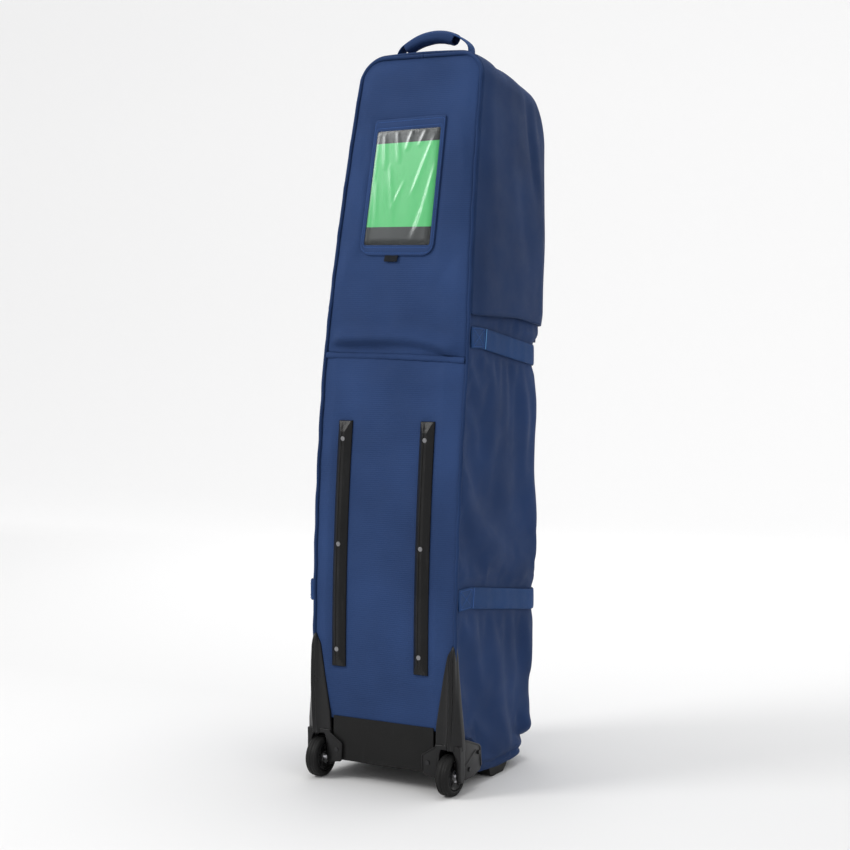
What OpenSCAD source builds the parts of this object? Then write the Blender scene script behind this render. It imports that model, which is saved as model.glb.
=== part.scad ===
// Wheeled soft travel case for a golf bag, standing upright on two wheels and two front feet.
// +Z is up, +X is to the right, and -Y is the back: the side with the wheels, rails and label.
// Heights are above the ground. Depths are first given forward of the wheel axle, and
// at_axle() moves them so that the origin is at the middle of the case's footprint.

/* [Overall size] */
// Height of the soft hood's top edge
hood_z = 1240; // [1200:5:1280]
// Height of the waist seam on the back
waist_z = 723; // [700:1:745]
// Half of the width over the wheel housings
housing_x = 150; // [149:0.5:152]
// Half of the width of the lower body
body_x = 138.7; // [137:0.1:139]
// Half of the width at the waist
waist_x = 142; // [141:0.5:143]
// Half of the width of the hood near its top
top_x = 120; // [117:1:123]
// Front of the lower body, forward of the axle
body_front = 322; // [316:1:328]
// Front of the waist, under the upper strap
waist_front = 314; // [310:1:318]
// Front of the hood, forward of the axle
hood_front_y = 357; // [354:1:360]

/* [Posture] */
// How far the back has come forward at the waist
waist_back = 35; // [25:1:40]
// How much further forward the back is at the hood's top
hood_tilt = 56; // [40:1:70]
// Sideways lean of the soft hood, in degrees
hood_lean = 2.6; // [0:0.1:3]

/* [Fabric] */
// Thickness of the body fabric
fabric_t = 3; // [2:0.5:3]
// Thickness of the padded hood
hood_t = 5; // [4:0.5:6]
// Radius of the piping cord along the back edges
cord_r = 2.3; // [1.5:0.1:2.3]
// Radius of the front corners
corner_r = 48; // [40:1:50]

/* [Wheels and feet] */
// Radius of the wheels
wheel_r = 34.4; // [34:0.1:35]
// Width of a wheel
wheel_w = 24; // [20:0.5:24]
// Half of the distance between the wheels
wheel_x = 128; // [127:0.5:129]
// Radius of the axle bolts
axle_r = 4; // [3:0.5:4]
// Distance between the axle and the front of the feet
foot_front = 206; // [196:1:214]

/* [Rails] */
// Half of the distance between the rails
rail_x = 81; // [76:1:86]
// How far left of the case's middle the pair of rails sits
rail_shift = 7; // [0:0.5:9]
// Width of a rail
rail_w = 27; // [24:1:30]
// Height of a rail above the fabric
rail_h = 10; // [7:0.5:11]
// Lower end of the rails
rail_low = 195; // [190:1:205]
// Upper end of the rails
rail_high = 615; // [600:1:625]

/* [Straps] */
// Width of the strap webbing
strap_w = 36; // [34:1:38]
// Thickness of the strap webbing
strap_t = 2.2; // [1.6:0.1:2.4]

/* [Label pocket] */
// Width of the label frame
label_w = 137; // [130:1:140]
// Height of the label frame
label_h = 236; // [230:1:240]
// Centre of the label, to the right of the hood's middle
label_x = -8; // [-12:1:0]
// Height of the label's centre
label_z = 1012; // [1000:1:1020]

/* [Hidden] */
$fn = 64;

fabric = [0.17, 0.25, 0.45];
fabric_dark = [0.12, 0.18, 0.34];
plastic = [0.13, 0.13, 0.13];
steel = [0.6, 0.6, 0.62];
gap = 0.4;                        // between neighbouring panels
slice_t = 0.02;                   // thickness of the slices that a shell is hulled from
front_most = 363.6;               // the zip pulls' pins, forward of the axle
mid_y = (front_most - wheel_r) / 2;
edge = 2 * cord_r + 0.8;          // room that the piping takes in a back corner
bend_z = 200;                     // the back is upright below this height
back_y0 = -3;                     // back of the lower body
tray_z = 109;                     // top of the tray's back wall
tray_x = 132;
tray_floor = 34;
hem_z = 780;                      // lower edge of the hood on the sides and front
top_r = 45;                       // rounding of the hood's top corners
board_t = 3;
rail_crest = 9;                   // width of a rail's flat crest
rail_ramp = 18;                   // length of the slope at each end of a rail
flap_x = 92;                      // half of the flap's width
flap_low = 815;
flap_high = 1120;
flap_r = 25;
zip_x = 98;                       // middle of the zip's legs
garage_z = 783;                   // lower end of the zip's legs
slider_z = 797;                   // where the closed zip's sliders are parked
pull_x = 3.2;                     // how far outwards of the zip's middle a pull hangs
handle_y = 133;
handle_x = 68;
handle_pivot = hood_z + 5.5;
handle_r = 104;                   // outer radius of the webbing's arch
handle_drop = 64;                 // how far the arch's centre is below the pivot
knuckle_r = 5;                    // radius of the fold that each leg turns about
upper_back_z = 748;               // middle of the upper strap at its back end
upper_front_z = 726.5;
lower_back_z = 319;
lower_front_z = 288;
buckle_h = 44;
ladder_x = -22;                   // where a male buckle half holds its webbing
slack_end = -56;

// The back of the case, forward of the axle, at height z.
function lower_back(z) =
    z < bend_z ? back_y0
    : back_y0 + (waist_back - back_y0) * pow((z - bend_z) / (waist_z - bend_z), 2);
function hood_back(z) =
    let (t = (z - waist_z) / (hood_z - waist_z)) waist_back + hood_tilt * (0.45 * t + 0.55 * t * t);
function back(z) = z < waist_z ? lower_back(z) : hood_back(z);
function hood_half(z) = waist_x - (waist_x - top_x) * (z - hem_z) / (hood_z - hem_z);

module at_axle() translate([0, -mid_y, 0]) children();

// The hood and all that is sewn to it lean sideways about the middle of the waist.
module on_hood() at_axle() translate([0, 0, waist_z]) rotate([0, hood_lean, 0])
    translate([0, 0, -waist_z]) children();

// Draws a right-hand piece, or its mirror image for side -1.
module on_side(side) {
    if (side > 0) children();
    else mirror([1, 0, 0]) children();
}

// Extrudes an outline drawn as [y, z] from x0 to x1.
module along_x(x0, x1) translate([x0, 0, 0]) rotate([90, 0, 90]) linear_extrude(x1 - x0) children();

// Extrudes an outline drawn as [x, z] from y0 to y1.
module along_y(y0, y1) translate([0, y1, 0]) rotate([90, 0, 0]) linear_extrude(y1 - y0) children();

// A band that follows the back between two heights, d0 to d1 forward of its surface.
module back_band(z0, z1, d0, d1, steps = 12)
    polygon(concat(
        [for (i = [0:steps]) let (z = z0 + (z1 - z0) * i / steps) [back(z) + d0, z]],
        [for (i = [steps:-1:0]) let (z = z0 + (z1 - z0) * i / steps) [back(z) + d1, z]]));

// One level slice of the hood, moved inwards by inset.
module slice(z, half, front, inset, r = corner_r) {
    y = back(z) + inset;
    for (s = [-1, 1]) {
        translate([s * (half - r), front - r, z]) cylinder(h = slice_t, r = r - inset, $fn = 32);
        translate([s * (half - inset - 1), y + 0.5, z]) cube([2, 1, slice_t], center = true);
    }
}

// The lower body's levels, from the ground up: height, half width and front.
lower_levels = [
    [30, body_x - 2, 262], [42, body_x, 278], [62, body_x, 290], [112, body_x, 304],
    [205, body_x, body_front], [400, body_x, body_front], [600, waist_x - 1, body_front + 5],
    [690, waist_x, waist_front], [754, waist_x, waist_front], [hem_z + 8, waist_x, hood_front_y - 18]
];

// The points of one level, moved inwards by inset: square at the back, round at the front.
function level_points(level, inset, steps = 8) =
    let (z = level[0], half = level[1], front = level[2], r = corner_r - inset, y = front - corner_r)
    concat(
        [[half - inset, back(z) + inset, z]],
        [for (a = [0:90 / steps:90]) [half - corner_r + r * cos(a), y + r * sin(a), z]],
        [for (a = [90:90 / steps:180]) [corner_r - half + r * cos(a), y + r * sin(a), z]],
        [[inset - half, back(z) + inset, z]]);

// A solid through the levels, each of n points in the same order.
module loft(levels) {
    n = len(levels[0]);
    last = len(levels) - 1;
    polyhedron(points = [for (level = levels) each level], faces = concat(
        [[for (k = [0:n - 1]) k]],
        [[for (k = [n - 1:-1:0]) last * n + k]],
        [for (a = [0:n:(last - 1) * n], k = [0:n - 1]) [a + k, a + n + (k + 1) % n, a + (k + 1) % n]],
        [for (a = [0:n:(last - 1) * n], k = [0:n - 1]) [a + k, a + n + k, a + n + (k + 1) % n]]));
}

// Moves the lowest level up by inset, so that the bottom has a thickness too.
module lower_solid(inset) loft([for (level = lower_levels)
    level_points([level[0] + (level[0] < 40 ? inset : 0), level[1], level[2]], inset)]);

// The part of a lower piece below the leaning hood's level z.
module below_hood(z) intersection() {
    children();
    translate([0, 0, waist_z]) rotate([0, hood_lean, 0])
        translate([-200, -50, -waist_z]) cube([400, 500, z]);
}

// The lower fabric without its back, cut along the hood's hem.
module lower_shell() below_hood(hem_z - gap) difference() {
    lower_solid(0);
    lower_solid(fabric_t);
    along_x(-200, 200) back_band(0, 900, -20, edge, 24);
    translate([-tray_x - 1, -20, 0]) cube([2 * tray_x + 2, 246, tray_z + 3]);
    translate([-200, -20, 0]) cube([400, 246, tray_floor + gap]);
}

module hood_solid(inset) hull() {
    slice(hem_z, hood_half(hem_z), hood_front_y - 14, inset);
    slice(812, hood_half(812), hood_front_y, inset);
    slice(1124, hood_half(1124), hood_front_y, inset);
    for (s = [-1, 1]) {
        translate([s * (top_x - top_r), back(1195) + inset, hood_z - top_r])
            rotate([-90, 0, 0]) cylinder(h = 1, r = top_r - inset, $fn = 48);
        translate([s * (top_x - top_r), hood_front_y - 56, hood_z - 57]) sphere(r = top_r - inset, $fn = 32);
    }
}

module hood_shell() difference() {
    hood_solid(0);
    hood_solid(hood_t);
    translate([-200, -50, hem_z - 20]) cube([400, 500, 20 + slice_t * 2]);
    along_x(-200, 200) back_band(hem_z - 20, hood_z + 80, -40, edge, 16);
}

// ---- base, housings, wheels and feet ----

module base_tray() color(plastic) at_axle() difference() {
    union() {
        translate([-tray_x, back_y0 - 2, tray_floor]) cube([2 * tray_x, 228, 4]);
        translate([-tray_x, back_y0 - 2, tray_floor]) cube([2 * tray_x, 4, tray_z - tray_floor]);
        for (s = [-1, 1])
            translate([s * (tray_x - 2) - 2, back_y0 - 2, tray_floor]) cube([4, 228, 50]);
    }
    for (s = [-1, 1]) translate([s * (tray_x + 5) - 38.5, -60, 0]) cube([77, 106, 200]);
}

// A corner fin, the cover over the wheel, two arms and two flanges, as one moulding.
module wheel_housing(side) color(plastic) at_axle() on_side(side) difference() {
    inner = wheel_x - wheel_w / 2 - 10;
    union() {
        along_y(back_y0 - 9, back_y0 - 1.2)
            polygon([[104, 70], [104, 116], [126, 230], [133, 243], [147, 243],
                     [housing_x, 232], [housing_x, 70]]);
        along_x(body_x + 0.8, housing_x)
            polygon([[back_y0 - 9, 70], [back_y0 - 9, 232], [back_y0 - 3, 240], [10, 200], [14, 70]]);
        along_x(inner, housing_x) polygon([[-26, 76], [-26, 98], [15, 98], [22, 93], [40, 85], [40, 76]]);
        along_x(housing_x - 6, housing_x)
            polygon([[-24, 80], [-11, 34], [-11, 26], [11, 26], [20, 34], [38, 80]]);
        along_x(housing_x - 6, housing_x - 1)
            polygon([[8, 60], [8, 94], [22, 94], [70, 72], [73, 30], [14, 27]]);
        along_x(inner, inner + 6)
            polygon([[-24, 80], [-11, 34], [-11, 26], [11, 26], [44, 34], [44, 98], [-3, 98]]);
        along_y(back_y0 - 5.6, back_y0 - 2.4)
            polygon([[79, 37], [79, 66], [106, 82], [inner + 4, 100], [inner + 4, 37]]);
        for (x = [wheel_x - wheel_w / 2 - 4.2, wheel_x + wheel_w / 2 + 0.6])
            translate([x, 0, wheel_r]) rotate([0, 90, 0]) cylinder(h = 3.6, r = 7);
    }
    translate([wheel_x, 0, wheel_r]) rotate([0, 90, 0])
        cylinder(h = wheel_w + 7.8, r = wheel_r + 4, center = true);
    translate([inner - 10, 0, wheel_r]) rotate([0, 90, 0]) cylinder(h = 90, r = axle_r + 0.05);
    for (p = [[27, 40], [60, 62]])
        translate([housing_x - 10, p[0], p[1]]) rotate([0, 90, 0]) cylinder(h = 12, r = 2.1);
    translate([90, 0, 52]) rotate([90, 0, 0]) cylinder(h = 20, r = 2.1);
}
module wheel_housing_left() wheel_housing(-1);
module wheel_housing_right() wheel_housing(1);

module screw(h, head_r, shank_r) {
    cylinder(h = h, r = shank_r);
    translate([0, 0, h]) cylinder(h = 2, r = head_r);
}

module housing_screws() color(steel) at_axle() for (side = [-1, 1]) on_side(side) {
    for (p = [[housing_x - 5.8, 27, 40], [body_x + 0.9, 60, 62]])
        translate(p) rotate([0, 90, 0]) screw(housing_x - 1 - p[0] + 0.05, 3.6, 2);
    translate([90, back_y0 - 2.1, 52]) rotate([90, 0, 0]) screw(3.55, 3.6, 2);
}

module tyre(side) color(plastic) at_axle() translate([side * wheel_x, 0, wheel_r]) rotate([0, 90, 0])
    rotate_extrude($fn = 96) intersection() {
        translate([24.5, -wheel_w / 2]) square([wheel_r - 24.5, wheel_w]);
        union() {
            translate([wheel_r - 13, 0]) circle(r = 13);
            translate([20, -wheel_w / 2]) square([6.5, wheel_w]);
        }
    }
module tyre_left() tyre(-1);
module tyre_right() tyre(1);

module wheel_core(side) color([0.2, 0.2, 0.2]) at_axle() translate([side * wheel_x, 0, wheel_r])
    rotate([0, 90, 0]) difference() {
        union() {
            rotate_extrude($fn = 96) {
                translate([19.5, -wheel_w / 2 + 1]) square([4.95, wheel_w - 2]);
                translate([11.05, -wheel_w / 2 + 1]) square([3.2, wheel_w - 2]);
            }
            for (a = [0:72:288]) rotate([0, 0, a])
                translate([13.5, -2.5, -wheel_w / 2 + 4]) cube([7, 5, wheel_w - 8]);
        }
        cylinder(h = wheel_w + 2, r = 11.05, center = true);
    }
module wheel_core_left() wheel_core(-1);
module wheel_core_right() wheel_core(1);

module bearings(side) color(steel) at_axle() translate([side * wheel_x, 0, wheel_r])
    rotate([0, 90, 0]) {
        for (z = [-wheel_w / 2 + 1, wheel_w / 2 - 8]) translate([0, 0, z]) difference() {
            cylinder(h = 7, r = 11);
            translate([0, 0, -1]) cylinder(h = 9, r = axle_r + 0.05);
        }
    }
module bearings_left() bearings(-1);
module bearings_right() bearings(1);

module axle_bolts() color(steel) at_axle() for (side = [-1, 1]) on_side(side) {
    inner = wheel_x - wheel_w / 2 - 10;
    translate([inner - 6, 0, wheel_r]) rotate([0, 90, 0]) {
        cylinder(h = housing_x - inner + 6, r = axle_r);
        cylinder(h = 5.9, r = 6.5, $fn = 6);
    }
}

module front_feet() color(plastic) at_axle() for (side = [-1, 1]) on_side(side)
    along_x(108, 132)
        polygon([[126, tray_floor - 0.1], [134, 4], [142, 0], [foot_front - 24, 0],
                 [foot_front - 12, 8], [foot_front - 2, 24], [foot_front + 2, tray_floor - 0.1]]);

// ---- lower body ----

module lower_back_panel() color(fabric) at_axle() difference() {
    below_hood(waist_z - cord_r - gap) intersection() {
        along_x(-200, 200) back_band(tray_z + 1, waist_z + 10, 0, fabric_t, 20);
        along_y(-20, 60) polygon([[-body_x + edge, 90], [-waist_x + edge, waist_z + 20],
                                  [waist_x - edge, waist_z + 20], [body_x - edge, 90]]);
    }
    rail_holes(2.6);
}

// The stiff board inside the back, which the rails are screwed to.
module back_board() color([0.75, 0.75, 0.7]) at_axle() difference() {
    along_x(-body_x + 10, body_x - 10)
        back_band(tray_z + 4, waist_z - 12, fabric_t + 0.3, fabric_t + 0.3 + board_t);
    rail_holes(2.05);
}

function rail_at(side) = side * rail_x - rail_shift;
function rail_screw_z() = [for (k = [0:2]) rail_low + 30 + k * (rail_high - rail_low - 61) / 2];

module rail_holes(r) for (s = [-1, 1], z = rail_screw_z())
    translate([rail_at(s), back(z) - 20, z]) rotate([-90, 0, 0]) cylinder(h = 40, r = r);

// A rail's section at height z: a low ridge with sloping sides, h above the fabric.
function rail_section(x, z, h) = let (y = back(z) - 0.3, w = rail_w / 2, c = rail_crest / 2, lip = 2.5)
    [[x - w, y, z], [x + w, y, z], [x + w, y - lip, z],
     [x + c, y - h, z], [x - c, y - h, z], [x - w, y - lip, z]];

module rail(side) color(plastic) at_axle() difference() {
    x = rail_at(side);
    run = rail_high - rail_low - 2 * rail_ramp;
    loft(concat(
        [rail_section(x, rail_low, 3)],
        [for (i = [0:10]) rail_section(x, rail_low + rail_ramp + run * i / 10, rail_h)],
        [rail_section(x, rail_high, 3)]));
    rail_holes(2.1);
    for (z = rail_screw_z()) translate([rail_at(side), back(z) - 20, z])
        rotate([-90, 0, 0]) cylinder(h = 20 - rail_h + 2.4, r = 4.4);
}
module rail_left() rail(-1);
module rail_right() rail(1);

module rail_screws() color(steel) at_axle() for (s = [-1, 1], z = rail_screw_z())
    translate([rail_at(s), back(z), z]) rotate([90, 0, 0]) {
        translate([0, 0, -fabric_t - board_t - 1.5]) cylinder(h = fabric_t + board_t + rail_h - 0.7, r = 2);
        translate([0, 0, rail_h - 2.3]) cylinder(h = 1.5, r = 4);
    }

module lower_side(side) color(fabric_dark) at_axle() difference() {
    intersection() {
        lower_shell();
        on_side(side) translate([body_x - corner_r + 2, -20, 0]) cube([100, 500, 900]);
    }
    on_side(side) along_x(100, 170)
        polygon([[-30, 0], [-30, 110], [15, 110], [22, 96], [72, 74], [75, 0]]);
}
module lower_side_left() lower_side(-1);
module lower_side_right() lower_side(1);

module lower_front_panel() color(fabric) at_axle() intersection() {
    lower_shell();
    translate([-body_x + corner_r - 2 + gap, 226 + gap, 0])
        cube([2 * (body_x - corner_r + 2 - gap), 300, 900]);
}

// ---- hood ----

module upper_back_panel() color(fabric) on_hood() intersection() {
    r = top_r - edge;
    along_x(-200, 200) back_band(waist_z + cord_r + gap, hood_z - edge, 0, hood_t);
    along_y(0, 200) polygon(concat(
        [[edge - waist_x, waist_z], [waist_x - edge, waist_z]],
        [for (a = [0:7.5:90]) [top_x - top_r + r * cos(a), hood_z - top_r + r * sin(a)]],
        [for (a = [90:7.5:180]) [top_r - top_x + r * cos(a), hood_z - top_r + r * sin(a)]]));
}

module hood_side(side) color(fabric_dark) on_hood() difference() {
    intersection() {
        hood_shell();
        on_side(side) translate([top_x - top_r + gap / 2, 0, 0]) cube([200, 500, 1400]);
    }
    translate([-zip_x - 6 - gap, hood_front_y - 60, 0]) cube([2 * (zip_x + 6 + gap), 200, 1400]);
}
module hood_side_left() hood_side(-1);
module hood_side_right() hood_side(1);

module hood_middle() translate([-top_x + top_r + gap / 2, 0, 0])
    cube([2 * (top_x - top_r) - gap, 500, 1400]);

// The flap's outline, grown by d, as [x, z].
module flap_outline(d, low) {
    w = zip_x + d;
    r = flap_r + d;
    translate([-w, low]) square([2 * w, flap_high - flap_r - low]);
    translate([-w + r, flap_high - flap_r - 1]) square([2 * (w - r), flap_r + d + 1]);
    for (s = [-1, 1]) translate([s * (w - r), flap_high - flap_r]) circle(r = r);
}
module zip_band(d0, d1, low) difference() {
    flap_outline(d1, low);
    flap_outline(d0, low - 10);
}

module hood_top() color(fabric) on_hood() intersection() {
    hood_shell();
    hood_middle();
    translate([-200, 0, hood_z - 80]) cube([400, hood_front_y - 60, 200]);
}

// The fixed front of the hood above the flap, between the hood's sides.
module hood_front_top() color(fabric_dark) on_hood() difference() {
    intersection() {
        hood_shell();
        translate([-zip_x - 6, hood_front_y - 60 + gap, flap_high - 60]) cube([2 * zip_x + 12, 200, 400]);
    }
    along_y(200, 400) flap_outline(6, garage_z);
}

// The fixed strip below the flap, with a slot on each side for the zip's end.
module hood_sill() color(fabric_dark) on_hood() intersection() {
    hood_shell();
    translate([-zip_x + 6.4, 200, 0]) cube([2 * zip_x - 12.8, 300, flap_low - 4]);
}

module front_flap() color(fabric) on_hood() along_y(hood_front_y - fabric_t, hood_front_y)
    flap_outline(flap_x - zip_x, flap_low);

module zip_tape_fixed() color(fabric_dark) on_hood() along_y(hood_front_y - 2, hood_front_y - 0.8)
    zip_band(3.3, 5.6, garage_z + 0.4);
module zip_chain_fixed() color(plastic) on_hood() {
    along_y(hood_front_y - 2.8, hood_front_y) zip_band(0.8, 3.2, garage_z + 0.4);
    along_y(hood_front_y - 2.8, hood_front_y) intersection() {
        zip_band(-3.2, -0.8, garage_z + 0.4);
        translate([-200, 0]) square([400, flap_low - 1]);
    }
}
module zip_tape_flap() color(fabric_dark) on_hood() along_y(hood_front_y - 2, hood_front_y - 0.8)
    zip_band(-5.6, -3.3, flap_low);
module zip_chain_flap() color(plastic) on_hood() along_y(hood_front_y - 2.8, hood_front_y)
    zip_band(-3.2, -0.8, flap_low);

module zip_slider(side) color(steel) on_hood() on_side(side) translate([zip_x, hood_front_y, slider_z])
    difference() {
        union() {
            translate([-5.2, -4.8, -7]) cube([10.4, 1.4, 14]);
            translate([-5.2, 0.8, -7]) cube([10.4, 1.6, 14]);
            translate([-0.5, -4.8, 0]) cube([1, 7, 7]);
            translate([pull_x - 1.6, 0.8, -5]) cube([3.2, 5.6, 7]);
        }
        translate([-2, 4.3, -2.6]) rotate([0, 90, 0]) cylinder(h = 10, r = 1.25);
    }
module zip_slider_left() zip_slider(-1);
module zip_slider_right() zip_slider(1);

module zip_pull(side) color(steel) on_hood() on_side(side)
    translate([zip_x + pull_x, hood_front_y + 4.3, slider_z - 2.6]) {
        translate([-3.6, 0, 0]) rotate([0, 90, 0]) cylinder(h = 7.2, r = 1.18);
        for (s = [-1, 1]) translate([s * 2.9 - 0.7, -1.2, -12]) cube([1.4, 2.4, 13]);
        translate([-3.6, -1.2, -36]) cube([7.2, 2.4, 26]);
    }
module zip_pull_left() zip_pull(-1);
module zip_pull_right() zip_pull(1);

// ---- piping ----

// A tube of radius r along points, with its rings square to the path.
module tube_along(points, r, sides = 8) {
    n = len(points);
    dir = [for (i = [0:n - 1]) let (d = points[min(i + 1, n - 1)] - points[max(i - 1, 0)]) d / norm(d)];
    rings = [for (i = [0:n - 1])
        let (u = cross(dir[i], [0, 1, 0]), a = u / norm(u), b = cross(dir[i], a))
        for (k = [0:sides - 1]) points[i] + r * (a * cos(360 * k / sides) + b * sin(360 * k / sides))];
    polyhedron(points = rings, faces = concat(
        [[for (k = [0:sides - 1]) k]],
        [[for (k = [sides - 1:-1:0]) (n - 1) * sides + k]],
        [for (i = [0:n - 2], k = [0:sides - 1]) let (a = i * sides, j = (k + 1) % sides)
            [a + k, a + sides + k, a + sides + j, a + j]]));
}

module piping(side) color(fabric_dark) at_axle() on_side(side) {
    in = cord_r + 0.2;
    tube_along([for (z = [tray_z + 3:34:waist_z - 12])
        [body_x + (waist_x - body_x) * (z - tray_z) / (waist_z - tray_z) - in, back(z) + in, z]], cord_r);
}
module hood_piping(side) color(fabric_dark) on_hood() on_side(side) {
    in = cord_r + 0.2;
    mid = hood_z - top_r;
    tube_along(concat(
        [for (k = [0:10]) let (z = waist_z + 8 + k * (mid - waist_z - 8) / 10)
            [waist_x + (top_x - waist_x) * (z - waist_z) / (mid - waist_z) - in, back(z) + in, z]],
        [for (a = [15:15:90]) let (z = mid + (top_r - in) * sin(a))
            [top_x - top_r + (top_r - in) * cos(a), back(z) + in, z]],
        [[0.2, back(hood_z - in) + in, hood_z - in]]), cord_r);
}
module piping_left() {
    piping(-1);
    hood_piping(-1);
}
module piping_right() {
    piping(1);
    hood_piping(1);
}

module waist_piping() color(fabric_dark) on_hood()
    translate([-waist_x + edge + 1, waist_back + cord_r, waist_z]) rotate([0, 90, 0])
        cylinder(h = 2 * (waist_x - edge - 1), r = cord_r);

// ---- label pocket ----

// Places a piece on the label's plane: x across, y into the case, z up the slope.
module on_label() on_hood() {
    low = label_z - label_h / 2;
    high = label_z + label_h / 2;
    slope = atan((back(high) - back(low)) / (high - low));
    translate([label_x, (back(high) + back(low)) / 2 - 2.4, label_z]) rotate([-slope, 0, 0]) children();
}

module label_outline(d) {
    r = 12 - d;
    w = label_w / 2 - d;
    h = label_h / 2 - d;
    translate([-w, -h + r]) square([2 * w, 2 * h - r]);
    translate([-w + r, -h]) square([2 * (w - r), r + 1]);
    for (s = [-1, 1]) translate([s * (w - r), -h + r]) circle(r = r);
}

module label_frame() color(fabric) on_label() {
    along_y(-3.4, -1.8) difference() {
        label_outline(0);
        translate([-label_w / 2 + 10, -label_h / 2 + 18]) square([label_w - 20, label_h - 39]);
    }
    along_y(-1.8, -0.1) difference() {
        label_outline(0);
        translate([-label_w / 2 + 3, -label_h / 2 + 12]) square([label_w - 6, label_h]);
    }
}

module label_window() color([0.85, 0.9, 0.95, 0.4]) on_label()
    translate([-label_w / 2 + 4, -1.7, -label_h / 2 + 13]) cube([label_w - 8, 0.6, label_h - 28]);

module insert_card() color([0.2, 0.55, 0.3]) on_label()
    translate([-label_w / 2 + 5, -0.9, -label_h / 2 + 13]) cube([label_w - 10, 0.6, label_h - 30]);

module label_tab() color(plastic) on_label()
    translate([-24, -1.6, -label_h / 2 - 12]) cube([24, 1.4, 11.5]);

// ---- straps and buckles ----

// The side and corner of a strap, from its back end to x_end on the front.
module strap(side, half, front, z_back, z_front, y_back, x_end) at_axle() on_side(side) {
    out = half + gap;
    y_turn = front - corner_r;
    along_x(out, out + strap_t)
        polygon([[y_back, z_back - strap_w / 2], [y_turn, z_front - strap_w / 2],
                 [y_turn, z_front + strap_w / 2], [y_back, z_back + strap_w / 2]]);
    translate([half - corner_r, y_turn, z_front - strap_w / 2]) intersection() {
        difference() {
            cylinder(h = strap_w, r = corner_r + gap + strap_t);
            translate([0, 0, -1]) cylinder(h = strap_w + 2, r = corner_r + gap);
        }
        cube([200, 200, strap_w]);
    }
    translate([x_end, front + gap, z_front - strap_w / 2])
        cube([half - corner_r - x_end, strap_t, strap_w]);
}

module upper_strap_right() color(fabric_dark)
    strap(1, waist_x, waist_front, upper_back_z, upper_front_z, 48, 40);
module upper_strap_left() color(fabric_dark)
    strap(-1, waist_x, waist_front, upper_back_z, upper_front_z, 48, -slack_end + gap);
module lower_strap_right() color(fabric_dark)
    strap(1, body_x, body_front, lower_back_z, lower_front_z, 6, 40);
module lower_strap_left() color(fabric_dark)
    strap(-1, body_x, body_front, lower_back_z, lower_front_z, 6, -slack_end + gap);

module strap_slack(front, z) color(fabric_dark) at_axle()
    translate([slack_end, front + gap, z - strap_w / 2]) cube([ladder_x - slack_end - gap, strap_t, strap_w]);
module upper_strap_slack() strap_slack(waist_front, upper_front_z);
module lower_strap_slack() strap_slack(body_front, lower_front_z);

module buckle_female(front, z) color(plastic) at_axle() translate([0, front + gap, z]) difference() {
    translate([0, 0, -buckle_h / 2]) cube([39.6, 13, buckle_h]);
    translate([-1, 3, -17.5]) cube([27, 7, 35]);
    translate([8, 3, -buckle_h / 2 - 1]) cube([12, 7, buckle_h + 2]);
}
module upper_buckle_female() buckle_female(waist_front, upper_front_z);
module lower_buckle_female() buckle_female(body_front, lower_front_z);

module buckle_male(front, z) color(plastic) at_axle() translate([0, front + gap, z]) {
    difference() {
        translate([ladder_x, 0.4, -20]) cube([-ladder_x - 0.5, 11, 40]);
        translate([ladder_x + 4, -1, -18.5]) cube([4.5, 20, 37]);
    }
    for (s = [-1, 1]) translate([-1, 4.5, s * 12.5 - 3.5]) cube([20, 4, 7]);
    translate([-1, 5, -2]) cube([17, 3, 4]);
}
module upper_buckle_male() buckle_male(waist_front, upper_front_z);
module lower_buckle_male() buckle_male(body_front, lower_front_z);

// ---- top handle ----

module handle_tabs() color(fabric_dark) on_hood() for (s = [-1, 1]) {
    translate([s * (handle_x - 6) - 16, handle_y - 15, hood_z - 0.8]) cube([32, 30, 2]);
    // the webbing folds here: a round knuckle that the handle's leg turns over
    along_x(s * handle_x - 1.5, s * handle_x + 1.5) translate([handle_y, handle_pivot]) {
        polygon([[-11, hood_z + 1 - handle_pivot], [11, hood_z + 1 - handle_pivot], [4.5, -3.5], [-4.5, -3.5]]);
        circle(r = knuckle_r - 0.2, $fn = 48);
    }
}

// A band of the handle's arch between two radii, w to each side, as [x, z] about the pivot.
module handle_arch(r0, r1, w) intersection() {
    difference() {
        translate([0, -handle_drop]) circle(r = r1, $fn = 128);
        translate([0, -handle_drop]) circle(r = r0, $fn = 128);
    }
    translate([-w, 0.2]) square([2 * w, 60]);
}

module handle_webbing() color(fabric_dark) on_hood() translate([0, handle_y, handle_pivot]) {
    along_y(-12.5, 12.5) handle_arch(handle_r - 3, handle_r, handle_x);
    for (s = [-1, 1]) along_x(s * handle_x - 1.5, s * handle_x + 1.5) difference() {
        polygon([[-5, 0.2], [5, 0.2], [12.5, 10], [12.5, 16], [-12.5, 16], [-12.5, 10]]);
        circle(r = knuckle_r, $fn = 48);
    }
}

module handle_grip() color(fabric) on_hood() translate([0, handle_y, handle_pivot])
    difference() {
        along_y(-14, 14) handle_arch(handle_r - 16, handle_r + 2.5, 44);
        along_y(-12.6, 12.6) handle_arch(handle_r - 3.1, handle_r + 0.1, 60);
    }

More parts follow.
